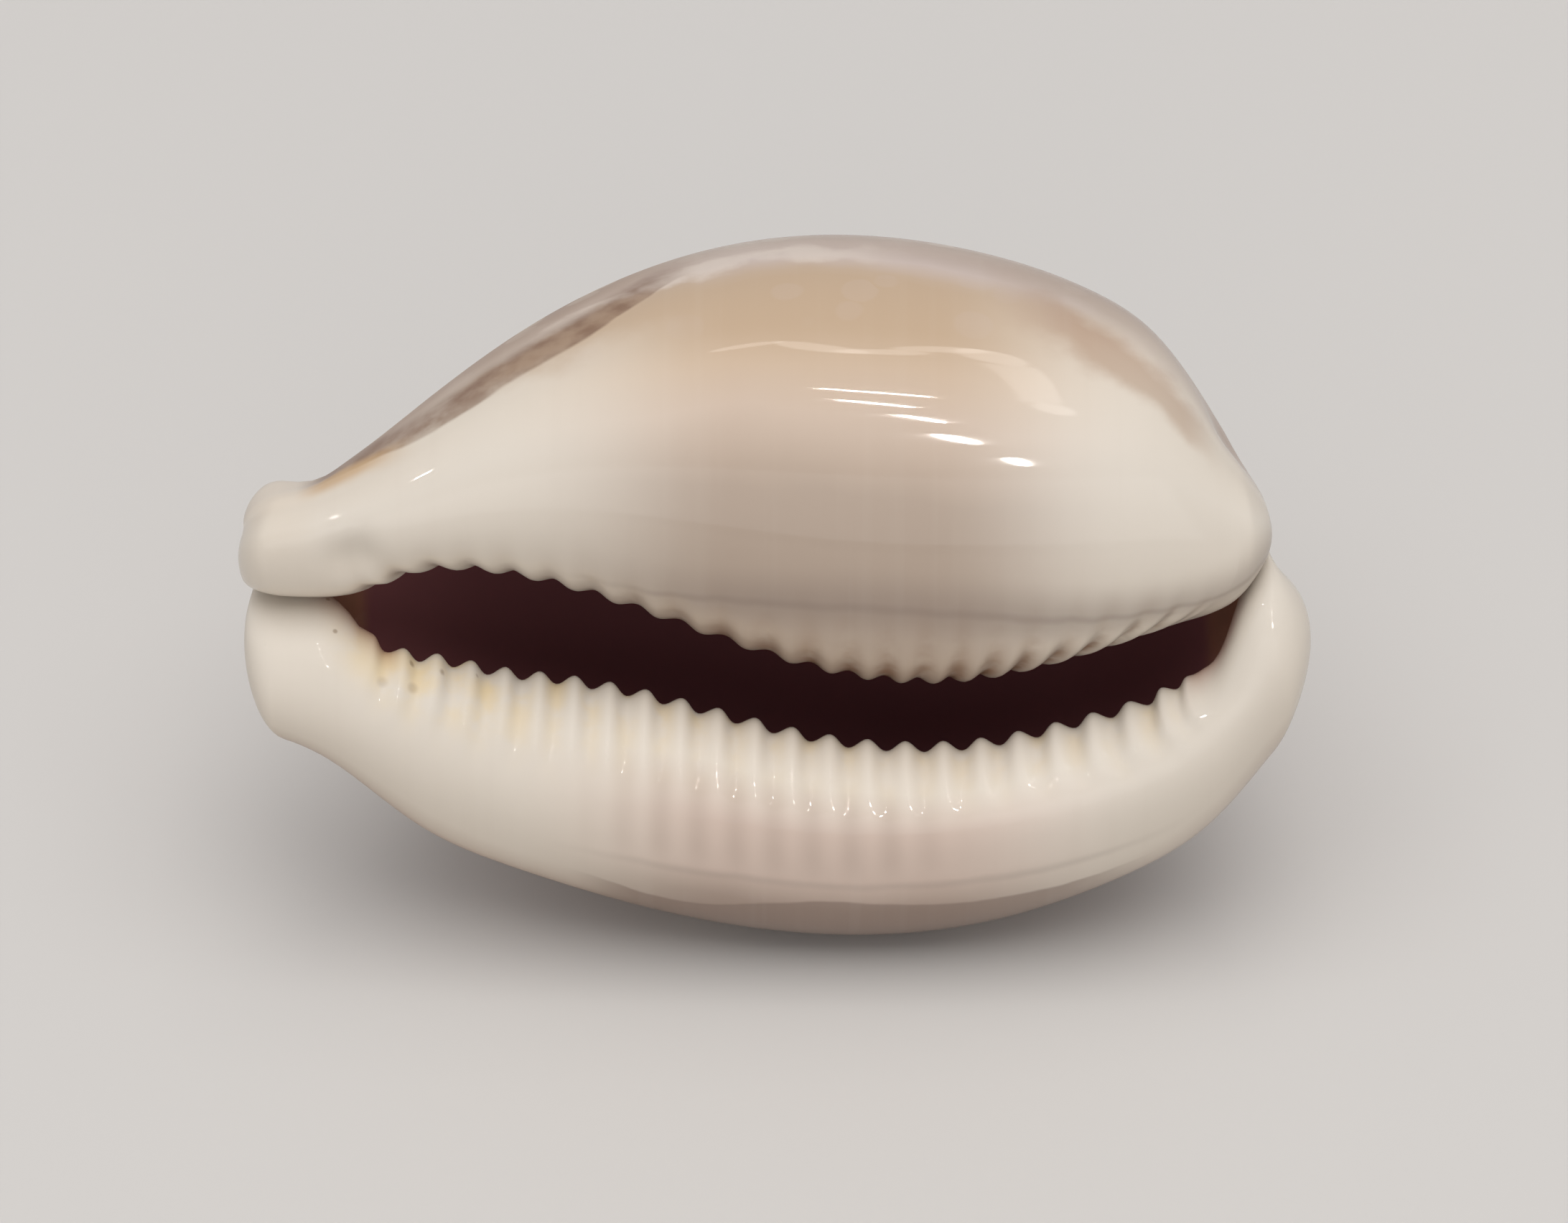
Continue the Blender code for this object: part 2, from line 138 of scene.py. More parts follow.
@dataclass(frozen=True)
class Guides:
    """Lines of the section along the shell, each as (x, value) in millimetres."""

    columellar_margin_y: Line = (
        ((-30, 7.6), (-25, 8.7), (-20, 11.6), (-15, 14.5), (-6, 17.65), (4, 18.4), (12, 17.6), (18, 16.25))
        + ((21.5, 14.35), (24, 11.4), (26.5, 8.6), (30, 7.0))
    )
    columellar_margin_z: Line = (
        ((-30, 6.3), (-25, 6.0), (-15, 3.0), (-5, -0.8), (3, -2.5), (11, -2.0), (18, 0.2), (22, 2.4))
        + ((26, 4.6), (30, 5.6))
    )
    columellar_crest_y: Line = (
        ((-30, 5.6), (-25, 6.4), (-15, 8.6), (-5, 8.2), (5, 6.8), (16, 6.3), (25, 6.2), (30, 6.6))
    )
    columellar_crest_z: Line = (
        ((-30, 8.6), (-22, 9.4), (-12, 10.0), (2, 10.4), (12, 10.1), (20, 9.3), (25, 8.4), (30, 7.2))
    )
    columellar_edge_y: Line = (
        ((-30, 2.4), (-25, 2.0), (-22.5, 2.3), (-20.5, 3.2), (-17, 3.4), (-10, 1.4), (-3, -1.6), (4, -4.0))
        + ((11, -4.2), (17, -2.4), (22, -0.1), (25, 1.8), (26, 2.9), (27, 4.3), (30, 6.0))
    )
    columellar_edge_z: Line = (
        ((-30, 6.0), (-24, 5.8), (-18, 4.8), (-8, 3.8), (4, 3.2), (14, 3.6), (20, 4.6), (23, 5.6), (26, 7.0))
        + ((30, 7.2),)
    )
    labial_margin_y: Line = (
        ((-30, -5.6), (-25, -7.4), (-20, -11.7), (-15, -14.6), (-6, -18.2), (4, -20.0), (13, -18.7))
        + ((20, -15.4), (25, -11.2), (28, -7.2), (30, -5.0))
    )
    labial_margin_z: Line = (
        ((-30, 6.2), (-25, 6.2), (-15, 4.4), (-5, 2.4), (4, 1.4), (14, 2.0), (21, 3.6), (26, 5.0), (30, 5.4))
    )
    labial_crest_y: Line = (
        ((-30, -2.2), (-25, -3.6), (-20, -6.6), (-15, -8.8), (-5, -10.9), (4, -11.8), (13, -10.9), (20, -8.8))
        + ((25, -5.4), (28, -1.4), (30, 0.4))
    )
    labial_crest_z: Line = ((-30, 9.2), (-22, 9.6), (-10, 10.0), (4, 10.2), (16, 10.1), (25, 9.4), (30, 8.4))
    labial_edge_y: Line = (
        ((-30, 2.0), (-26, 1.8), (-24.2, 1.3), (-23, 0.2), (-22, -0.6), (-19, -1.6), (-16, -2.6), (-12, -3.4))
        + ((-5, -4.9), (3, -6.8), (7, -7.2), (11, -7.1), (17, -5.7), (21, -4.1), (23.6, -2.4), (24.7, -1.1))
        + ((25.6, 1.6), (26.4, 3.7), (27.4, 4.9), (28.6, 5.1), (30, 5.0))
    )
    labial_edge_z: Line = (
        ((-30, 4.2), (-26, 4.7), (-24, 5.5), (-22, 6.6), (-18, 6.3), (4, 6.2), (20, 6.2), (23.6, 6.4))
        + ((25.2, 5.9), (26.2, 5.0), (27.2, 4.4), (28.6, 4.1), (30, 4.0))
    )
    back_y: Line = ((-30, 1.2), (-15, 0.8), (0, 0.4), (15, 0.8), (24, 2.4), (30, 3.0))
    back_z: Line = (
        ((-30, 1.6), (-27, 0.9), (-24, -1.4), (-20, -6.0), (-14, -12.6), (-8, -17.0), (-2, -19.6), (3, -20.3))
        + ((8, -19.9), (14, -17.6), (19, -13.4), (23, -7.8), (25.5, -3.2), (27.5, -0.2), (30, 1.0))
    )
    floor_y: Line = (
        ((-30, 2.1), (-25, 2.0), (-18, 1.0), (0, -0.5), (15, 0.0), (23, 1.0), (27, 3.8), (30, 4.2))
    )
    floor_wall: Line = (
        ((-30, 0.9), (-27, 1.5), (-23, 2.2), (-16, 1.8), (0, 1.7), (14, 1.7), (20, 2.0), (24, 3.0), (27, 2.6))
        + ((30, 1.8),)
    )
    cavity_side_z: Line = (
        ((-30, 3.4), (-25, 3.0), (-20, 2.2), (-12, 0.0), (4, -1.4), (14, -0.8), (20, 0.8), (25, 3.6))
        + ((30, 4.0),)
    )
    cavity_columellar_y: Line = (
        ((-30, 3.2), (-26, 3.4), (-22, 5.8), (-17, 9.4), (-6, 13.8), (4, 14.8), (14, 13.2), (20, 10.4))
        + ((24, 6.2), (27, 5.4), (30, 5.6))
    )
    cavity_labial_y: Line = (
        ((-30, 1.0), (-26, 0.2), (-22, -4.2), (-17, -9.0), (-6, -14.2), (4, -15.9), (13, -14.7), (20, -10.6))
        + ((24, -4.4), (26.4, 0.9), (28, 1.0), (30, -0.2))
    )
    cavity_arch: Line = (
        ((-30, 0.0), (-26, 0.2), (-20, 4.6), (-10, 9.0), (4, 10.6), (14, 9.2), (20, 4.6), (24, 1.0))
        + ((27, 0.0), (30, 0.0))
    )

    def at(self, name: str, x: np.ndarray) -> np.ndarray:
        """The value of the line of that name at x."""
        return spline(getattr(self, name))(x)


@dataclass(frozen=True)
class Arc:
    """A quarter turn of the outline between a crown line, where it runs level, and a side line.

    Attributes:
        first: The first key point that it gives.
        crown: The guide line of its crown.
        side: The guide line of its side.
        level: The key point at its side.
        keys: How many keys the quarter turn takes.
        fullness: The power of its superellipse.
    """

    first: int
    crown: str
    side: str
    level: int
    keys: int
    fullness: float = 2.0


@dataclass(frozen=True)
class Teeth:
    """The ridges of one lip.

    Attributes:
        lip: The lip that they stand on.
        places: Where some of the crests stand, as (number, x).
        lean: How far the outward end of a tooth leans along the shell, as (x, lean).
        height: From groove to crest.
        level: The share of the height that is sunk below the lip's surface.
        place_keys: The zone of key points that keep to the crests' places.
        lean_keys: The zone of key points that lean.
        along: The zone of tooth numbers that they stand over.
        across: The zone of section parameters that they stand over.
    """

    lip: Lip
    places: Line
    lean: Line
    height: float
    level: float
    place_keys: Zone
    lean_keys: Zone
    along: Zone
    across: Zone


@dataclass(frozen=True)
class Swelling:
    """A round lump, or a hollow where the height is negative, of the outside."""

    centre: Point
    reach: float
    height: float


@dataclass(frozen=True)
class Stroke:
    """A line along the outside of the shell, as (x, section parameter), that the finish follows."""

    name: str
    points: Line


@dataclass
class Body:
    """The shell's surface, as a grid of rows along the shell and section parameters round it.

    Attributes:
        guides: The lines that the section follows.
        columellar: The teeth of the columellar lip.
        labial: The teeth of the labial lip.
        arcs: The quarter turns of the outline.
        swellings: The lumps and hollows of the beaks.
        strokes: The lines that the finish follows.
        tooth_count: How many teeth each lip has.
        first_tooth_x: The grid line of their first crests.
        last_tooth_x: The grid line of their last crests.
        around: The key points where the two ends are measured.
        front_end_x: Where the shell ends in front at each of them.
        rear_end_x: Where it ends at the rear.
        end_reach: The zone, from the middle, over which the section takes on the shape of an end.
        hook_depth: How deep the edge of the columellar lip hooks in at the middle of the shell.
        hook_loss: How much of that it loses towards the ends.
        hook_fade: The zone, from the middle, over which it loses it.
        hook_in: The share of the depth that the first two key points move in by.
        hook_down: The share of the depth that they move down by.
        lip_wall: The shape of the wall under the labial edge, as shares of its rise and its run.
        cavity_round: The zone of section parameters that the hollow takes up.
        cavity_along: Its zone along the shell.
        wall_round: The zone that the canals' shade takes up.
        rim_length: How far the rounding of the sheet's rims reaches.
        rim_flat: The share of the thickness that is left at the very rim.
        rows_per_tooth: How many grid lines a tooth takes up.
        rim_rows: How many each rounded rim takes up.
        end_rows: How many lie between the teeth and the rim.
        outer_steps: How many steps the section's outside has.
        rest_roll: How far the shell is rolled over from lying on its base.
        origin: The point of the rolled shell that goes to the origin of the row frame.
    """

    guides: Guides = field(default_factory=Guides)
    columellar: Teeth = Teeth(
        lip=Lip.COLUMELLAR,
        places=((0, -20.4), (4, -12.9), (8, -4.0), (10, 0.8), (17, 13.4), (23, 23.4)),
        lean=((-30, 0.0), (-23, -2.0), (-16, -1.2), (0, 0.0), (8, 1.2), (16, 3.0), (22, 3.4), (27, 1.0))
        + ((30, 0.0),),
        height=0.36,
        level=0.75,
        place_keys=(7.0, 3.0),
        lean_keys=(1.8, 3.6, 3.8, 7.0),
        along=(-1.4, -0.2, 19.6, 22.2),
        across=(-0.8, 0.0, 2.5, 3.8),
    )
    labial: Teeth = Teeth(
        lip=Lip.LABIAL,
        places=((0, -22.4), (4, -15.0), (12, 0.9), (17, 11.4), (23, 23.7)),
        lean=((-30, 0.0), (-22, -1.2), (-10, -0.6), (0, 0.0), (10, 0.5), (18, 1.6), (24, 2.0), (30, 0.0)),
        height=0.60,
        level=0.5,
        place_keys=(10.0, 14.0),
        lean_keys=(10.0, 13.4, 13.6, 15.4),
        along=(-1.2, 1.0, 21.7, 23.9),
        across=(14.2, 16.1, 17.0, 18.6),
    )
    arcs: tuple[Arc, ...] = (
        Arc(2, "columellar_crest", "columellar_edge", 2, 2),
        Arc(5, "columellar_crest", "columellar_margin", 6, 2),
        Arc(7, "back", "columellar_margin", 6, 3, 2.1),
        Arc(10, "back", "labial_margin", 12, 3, 2.1),
        Arc(13, "labial_crest", "labial_margin", 12, 2),
        Arc(15, "labial_crest", "labial_edge", 16, 2),
    )
    swellings: tuple[Swelling, ...] = (
        Swelling((-27.8, 7.2, 2.8), 1.8, 1.0),
        Swelling((-25.6, 8.2, 4.0), 1.6, -0.3),
        Swelling((-23.0, 5.6, 9.0), 1.3, -0.9),
        Swelling((25.4, 9.9, 2.4), 2.2, -0.5),
    )
    strokes: tuple[Stroke, ...] = (
        Stroke(
            "crease",
            ((-30, 4.4), (-22.7, 4.1), (-17, 3.45), (-8, 3.22), (0, 3.49), (11, 3.54), (19, 3.3), (30, 2.9)),
        ),
        Stroke("lip line", ((-30, 13.6), (-10, 13.62), (1, 13.6), (11, 13.54), (19, 13.44), (30, 13.3))),
        Stroke(
            "dusk line",
            ((-30, 12.8), (-10, 13.2), (-6, 13.1), (1, 13.36), (9, 13.3), (14, 13.2), (30, 12.9)),
        ),
        Stroke(
            "shoulder",
            ((-30, 5.5), (-27.5, 5.8), (-23, 5.9), (-20, 5.54), (-15, 5.58), (-10, 5.73), (-5, 6.1), (0, 6.2))
            + ((8, 6.15), (14, 6.0), (20, 5.8), (30, 5.8)),
        ),
    )
    tooth_count: int = 24
    first_tooth_x: float = -21.4
    last_tooth_x: float = 23.6
    around: tuple[int, ...] = (0, 2, 4, 6, 8, 9, 10, 12, 14, 15, 16)
    front_end_x: tuple[float, ...] = (
        (-28.0, -28.9, -29.5, -29.2, -28.8, -27.8, -27.6, -28.6, -29.3, -29.1, -28.8)
    )
    rear_end_x: tuple[float, ...] = (26.2, 26.8, 27.2, 26.9, 26.6, 26.8, 27.4, 28.7, 29.2, 27.6, 27.0)
    end_reach: Zone = (20.0, HALF_LENGTH)
    hook_depth: float = 4.4
    hook_loss: float = 3.4
    hook_fade: Zone = (17.0, 26.0)
    hook_in: tuple[float, float] = (0.28, 0.04)
    hook_down: tuple[float, float] = (1.0, 0.55)
    lip_wall: tuple[float, float, float] = (0.55, 0.16, 0.50)
    cavity_round: Zone = (16.7, 17.3, 30.4, 31.0)
    cavity_along: Zone = (-23.7, -22.5, 23.7, 25.0)
    wall_round: Zone = (15.2, 16.4, 30.8, 31.6)
    rim_length: float = 2.4
    rim_flat: float = 0.08
    rows_per_tooth: int = 12
    rim_rows: int = 12
    end_rows: int = 8
    outer_steps: int = 96
    rest_roll: float = math.radians(75.0)
    origin: Point = (0.015, 3.74, -19.0)

    def tooth_x(self, xi: np.ndarray, teeth: Teeth) -> np.ndarray:
        """Where grid lines stand along a lip.

        Args:
            xi: The grid lines.
            teeth: The lip's teeth.

        Returns:
            The x of each grid line there, so that the n-th crest of both lips is on the same grid line.
        """
        first, (count, last) = teeth.places[0][1], teeth.places[-1]
        number = (xi - self.first_tooth_x) / (self.last_tooth_x - self.first_tooth_x) * count
        inside = spline(teeth.places)(np.clip(number, 0, count))
        before = (HALF_LENGTH + first) / (HALF_LENGTH + self.first_tooth_x)
        after = (HALF_LENGTH - last) / (HALF_LENGTH - self.last_tooth_x)
        front = first + (xi - self.first_tooth_x) * before
        rear = last + (xi - self.last_tooth_x) * after
        return np.where(number < 0, front, np.where(number > count, rear, inside))

    def key_x(self, xi: np.ndarray, k: int, lean: float) -> np.ndarray:
        """The x of key point k on grid lines, with that share of the teeth's lean."""
        x = xi.copy()
        for teeth in (self.columellar, self.labial):
            x += hump(k, teeth.place_keys) * (self.tooth_x(xi, teeth) - xi)
            x += lean * spline(teeth.lean)(xi) * hump(k, teeth.lean_keys)
        for side, ends in ((-1, self.front_end_x), (1, self.rear_end_x)):
            end_x = spline(tuple(zip(self.around, ends)))(k)
            x += hump(side * xi, self.end_reach) * (end_x - side * HALF_LENGTH)
        return x

    def outer_point(self, x: np.ndarray, k: int) -> tuple[np.ndarray, np.ndarray]:
        """The (y, z) of outer key point k at each x."""
        at = self.guides.at
        if k < 2:
            hook = self.hook_depth - self.hook_loss * hump(abs(x), self.hook_fade)
            y, z = at("columellar_edge_y", x), at("columellar_edge_z", x)
            return y + self.hook_in[k] * hook, z - self.hook_down[k] * hook
        arc = [arc for arc in self.arcs if arc.first <= k][-1]
        crown_y, crown_z = at(f"{arc.crown}_y", x), at(f"{arc.crown}_z", x)
        side_y, side_z = at(f"{arc.side}_y", x), at(f"{arc.side}_z", x)
        angle = abs(k - arc.level) / arc.keys * math.pi / 2
        return (
            crown_y + (side_y - crown_y) * math.cos(angle) ** (2 / arc.fullness),
            side_z + (crown_z - side_z) * math.sin(angle) ** (2 / arc.fullness),
        )

    def inner_point(self, x: np.ndarray, k: int) -> tuple[np.ndarray, np.ndarray]:
        """The (y, z) at each x of the inner partner of key point k, on the wall of the cavity or a canal."""
        at = self.guides.at
        side_z = at("cavity_side_z", x)
        columellar_y, labial_y = at("cavity_columellar_y", x), at("cavity_labial_y", x)
        floor_y, floor_z = at("floor_y", x), at("back_z", x) + at("floor_wall", x)
        if k < 6:
            tip_y, tip_z = self.outer_point(x, 0)
            arch = at("cavity_arch", x)
            near = ((tip_y, tip_z), (tip_y, tip_z + arch))
            far = ((columellar_y, side_z + arch), (columellar_y, side_z))
            return self.bezier(near + far, k / 6)
        if k <= 12:
            turn = (k - 6) / 3 if k <= 9 else (12 - k) / 3
            wall_y = columellar_y if k <= 9 else labial_y
            angle = turn * math.pi / 2
            return (
                floor_y + (wall_y - floor_y) * math.cos(angle),
                side_z + (floor_z - side_z) * math.sin(angle),
            )
        edge_y, edge_z = self.outer_point(x, LAST_KEY)
        rise, run = edge_z - side_z, edge_y - labial_y
        up, back, down = self.lip_wall
        steep = (labial_y, side_z + up * rise)
        under = (edge_y - back * run, edge_z - down * rise)
        return self.bezier(((labial_y, side_z), steep, under, (edge_y, edge_z)), (k - 12) / 4)

    @staticmethod
    def bezier(points: tuple, share: float) -> tuple[np.ndarray, np.ndarray]:
        """The (y, z) of the cubic curve of four (y, z) points, at that share of its way."""
        rest = 1 - share
        weights = (rest**3, 3 * share * rest**2, 3 * share**2 * rest, share**3)
        y = sum(w * p[0] for w, p in zip(weights, points))
        z = sum(w * p[1] for w, p in zip(weights, points))
        return y, z

    def grid_lines(self) -> tuple[np.ndarray, np.ndarray]:
        """The grid lines from the front rim to the rear rim, and the roundness of the sheet on each."""
        straight = HALF_LENGTH - self.rim_length
        widest = math.acos(self.rim_flat)
        turns = widest * np.arange(self.rim_rows, 0, -1) / self.rim_rows
        rim = straight + self.rim_length * np.sin(turns)
        count = (self.tooth_count - 1) * self.rows_per_tooth
        body = np.concatenate(
            (
                np.linspace(-straight, self.first_tooth_x, self.end_rows, endpoint=False),
                np.linspace(self.first_tooth_x, self.last_tooth_x, count, endpoint=False),
                np.linspace(self.last_tooth_x, straight, self.end_rows + 1),
            )
        )
        xi = np.concatenate((-rim, body, rim[::-1]))
        roundness = np.concatenate((np.cos(turns), np.ones(len(body)), np.cos(turns)[::-1]))
        return xi, roundness

    def section_steps(self) -> np.ndarray:
        """The section parameters of the columns, which are their own partners."""
        outer = np.linspace(0, LAST_KEY, self.outer_steps + 1)
        return np.concatenate((outer, KEYS - outer[-2:0:-1]))

    def smooth_rows(self, xi: np.ndarray, roundness: np.ndarray, t: np.ndarray) -> np.ndarray:
        """The surface with no teeth, pinched towards the middle of the sheet at its rims.

        Args:
            xi: The grid lines.
            roundness: How round the sheet is on each, 1 away from the rims.
            t: The section parameters.

        Returns:
            The points, by row, column and coordinate.
        """
        outer = [(self.key_x(xi, k, 1.0), k, self.outer_point) for k in range(LAST_KEY + 1)]
        inner = [(self.key_x(xi, k, 0.0), k, self.inner_point) for k in range(LAST_KEY - 1, 0, -1)]
        keys = np.stack([np.stack((x, *point(x, k)), axis=-1) for x, k, point in outer + inner], axis=1)
        system = np.zeros((KEYS, KEYS))
        for i in range(KEYS):
            system[i, i - 1] = 1 / 6
            system[i, i] = 4 / 6
            system[i, (i + 1) % KEYS] = 1 / 6
        controls = np.linalg.solve(system, keys)
        here, partner = self.closed_curve(controls, t), self.closed_curve(controls, KEYS - t)
        return (here + partner) / 2 + roundness[:, None, None] * (here - partner) / 2

    @staticmethod
    def closed_curve(controls: np.ndarray, t: np.ndarray) -> np.ndarray:
        """Points at t on the closed cubic B-spline of each row of control points."""
        t = t % KEYS
        i = np.floor(t).astype(int)
        f = (t - i)[None, :, None]
        weights = (
            (1 - f) ** 3 / 6,
            (3 * f**3 - 6 * f**2 + 4) / 6,
            (-3 * f**3 + 3 * f**2 + 3 * f + 1) / 6,
            f**3 / 6,
        )
        return sum(w * controls[:, (i + j - 1) % KEYS] for j, w in enumerate(weights))

    def locate(self, x: float, around: float) -> Vector:
        """The point of the resting shell at an x, in millimetres, and a section parameter of the outside."""
        xi = np.linspace(-HALF_LENGTH, HALF_LENGTH, 1201)
        line = self.smooth_rows(xi, np.ones(len(xi)), np.array([around]))[:, 0]
        point = Vector(line[np.abs(line[:, 0] - x).argmin()])
        point.rotate(Matrix.Rotation(self.rest_roll, 3, "X"))
        return (point - Vector(self.origin)) * MM

    def masks(
        self, rows: np.ndarray, xi: np.ndarray, roundness: np.ndarray, t: np.ndarray
    ) -> dict[str, np.ndarray]:
        """The attributes of the grid that the teeth and the finish follow.

        Args:
            rows: The surface with no teeth.
            xi: The grid lines.
            roundness: How round the sheet is on each.
            t: The section parameters.

        Returns:
            A value for each point, by the attribute's name.
        """
        number = (xi - self.first_tooth_x) / (self.last_tooth_x - self.first_tooth_x) * (self.tooth_count - 1)
        signed = np.where(t <= LAST_KEY, t, t - KEYS)
        x = rows[:, :, 0]
        found = {
            "tooth number": np.broadcast_to(number[:, None], x.shape),
            "wall": np.broadcast_to(hump(t, self.wall_round), x.shape),
            "around": np.broadcast_to(abs(signed), x.shape),
            "inside": hump(t, self.cavity_round)[None, :] * hump(x, self.cavity_along),
        }
        for teeth, place in ((self.columellar, signed), (self.labial, t)):
            ends = hump(number, teeth.along) * roundness
            found[teeth.lip.value] = np.outer(ends, hump(place, teeth.across))
        stride = np.linalg.norm(np.roll(rows, -1, axis=1) - np.roll(rows, 1, axis=1), axis=2)
        pace = stride * self.outer_steps / (2 * LAST_KEY)
        for stroke in self.strokes:
            away = np.clip((t[None, :] - spline(stroke.points)(x)) * pace, -FINISH_REACH, FINISH_REACH)
            found[stroke.name] = np.where((t < LAST_KEY + 0.5)[None, :], away, FINISH_REACH)
        return found

    def swell(self, rows: np.ndarray, t: np.ndarray) -> np.ndarray:
        """The rows with the lumps and hollows of the outside."""
        along = np.gradient(rows, axis=0)
        around = np.roll(rows, -1, axis=1) - np.roll(rows, 1, axis=1)
        normal = np.cross(along, around)
        normal /= np.maximum(np.linalg.norm(normal, axis=2, keepdims=True), TINY)
        lift = np.zeros(rows.shape[:2])
        for swelling in self.swellings:
            away = np.linalg.norm(rows - np.array(swelling.centre), axis=2)
            lift += swelling.height * np.exp(-((away / swelling.reach) ** 2)) * (t < LAST_KEY)[None, :]
        return rows + normal * lift[:, :, None]

    def plain_mesh(self) -> bpy.types.Mesh:
        """The closed surface with no teeth, in its own frame, with the attributes that the rest follows."""
        xi, roundness = self.grid_lines()
        t = self.section_steps()
        rows = self.smooth_rows(xi, roundness, t)
        masks = self.masks(rows, xi, roundness, t)
        rows = self.swell(rows, t)
        count, columns = rows.shape[:2]
        index = np.arange(count * columns).reshape(count, columns)
        nxt = np.roll(index, -1, axis=1)
        quads = np.stack((index[:-1], index[1:], nxt[1:], nxt[:-1]), axis=-1).reshape(-1, 4)
        faces = [tuple(quad) for quad in quads.tolist()]
        for row, turned in ((index[0], False), (index[-1], True)):
            for j in range(columns // 2):
                strip = tuple(dict.fromkeys((int(row[j]), int(row[j + 1]), int(row[-j - 1]), int(row[-j]))))
                faces.append(strip[::-1] if turned else strip)
        mesh = bpy.data.meshes.new("shell surface")
        mesh.from_pydata(rows.reshape(-1, 3).tolist(), [], faces)
        for name, values in masks.items():
            layer = mesh.attributes.new(name, "FLOAT", "POINT")
            layer.data.foreach_set("value", np.ascontiguousarray(values, np.float32).ravel())
        return mesh

    def teeth_tree(self, material: bpy.types.Material) -> bpy.types.NodeTree:
        """The node tree that raises the teeth of both lips along the surface."""
        tree = bpy.data.node_groups.new("Raise teeth", "GeometryNodeTree")
        interface = tree.interface
        interface.new_socket("Geometry", in_out="INPUT", socket_type="NodeSocketGeometry")
        for teeth in (self.columellar, self.labial):
            for what, value in (("height", teeth.height), ("level", teeth.level)):
                name = f"{teeth.lip.value} {what}"
                size = interface.new_socket(name, in_out="INPUT", socket_type="NodeSocketFloat")
                size.default_value = value
        finish = interface.new_socket("Shell finish", in_out="INPUT", socket_type="NodeSocketMaterial")
        finish.default_value = material
        interface.new_socket("Geometry", in_out="OUTPUT", socket_type="NodeSocketGeometry")
        bench = Bench(tree)
        given = bench.add("NodeGroupInput").outputs
        swing = bench.math("COSINE", bench.math("MULTIPLY", bench.named("tooth number"), 2 * math.pi))
        wave = bench.scaled(swing, 0.5, 0.5)
        lift = None
        for teeth in (self.columellar, self.labial):
            lip = teeth.lip.value
            raised = bench.math("SUBTRACT", wave, given[f"{lip} level"])
            raised = bench.times(raised, bench.named(lip), given[f"{lip} height"])
            lift = raised if lift is None else bench.math("ADD", lift, raised)
        normal = bench.add("GeometryNodeInputNormal").outputs[0]
        offset = bench.add("ShaderNodeVectorMath", {0: normal, "Scale": lift}, operation="SCALE").outputs[0]
        values = {"Geometry": given["Geometry"], "Offset": offset}
        moved = bench.add("GeometryNodeSetPosition", values).outputs[0]
        values = {"Geometry": moved, "Name": "crest", "Value": wave}
        stored = bench.add("GeometryNodeStoreNamedAttribute", values, data_type="FLOAT").outputs[0]
        whole = bench.add("GeometryNodeRealizeInstances", {"Geometry": stored}).outputs[0]
        values = {"Geometry": whole, "Material": given["Shell finish"]}
        bench.add("NodeGroupOutput", {"Geometry": bench.add("GeometryNodeSetMaterial", values).outputs[0]})
        return tree

    def set_down(self, mesh: bpy.types.Mesh) -> None:
        """Rolls the surface to the way it rests, moves it to the row frame and cuts it flat at the ground."""
        place = Matrix.Scale(MM, 4) @ Matrix.Translation([-c for c in self.origin])
        solid = bmesh.new()
        solid.from_mesh(mesh)
        solid.transform(place @ Matrix.Rotation(self.rest_roll, 4, "X"))
        everything = list(solid.verts) + list(solid.edges) + list(solid.faces)
        cut = bmesh.ops.bisect_plane(
            solid, geom=everything, dist=1e-7, plane_co=(0, 0, 0), plane_no=(0, 0, 1), clear_inner=True
        )
        rim = [item for item in cut["geom_cut"] if isinstance(item, bmesh.types.BMEdge)]
        foot = bmesh.ops.contextual_create(solid, geom=rim)["faces"]
        bmesh.ops.recalc_face_normals(solid, faces=solid.faces)
        for face in solid.faces:
            face.smooth = True
        for face in foot:
            face.smooth = False
        solid.to_mesh(mesh)
        solid.free()

    def build(self, material: bpy.types.Material) -> bpy.types.Object:
        """The finished shell, as one object at the origin with its place in its mesh."""
        plain = bpy.data.objects.new("shell plain", self.plain_mesh())
        bpy.context.scene.collection.objects.link(plain)
        modifier = plain.modifiers.new("Raise teeth", "NODES")
        modifier.node_group = self.teeth_tree(material)
        view = bpy.context.evaluated_depsgraph_get()
        mesh = bpy.data.meshes.new_from_object(
            plain.evaluated_get(view), preserve_all_data_layers=True, depsgraph=view
        )
        plain.modifiers.clear()
        bpy.data.objects.remove(plain)
        self.set_down(mesh)
        shell = bpy.data.objects.new("cowrie_shell", mesh)
        bpy.context.scene.collection.objects.link(shell)
        return shell

    def dress(self, shell: bpy.types.Object) -> None:
        """Makes the shell ride on the frame in the place of its CAD node."""
        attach(shell, "root")
        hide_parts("shell")


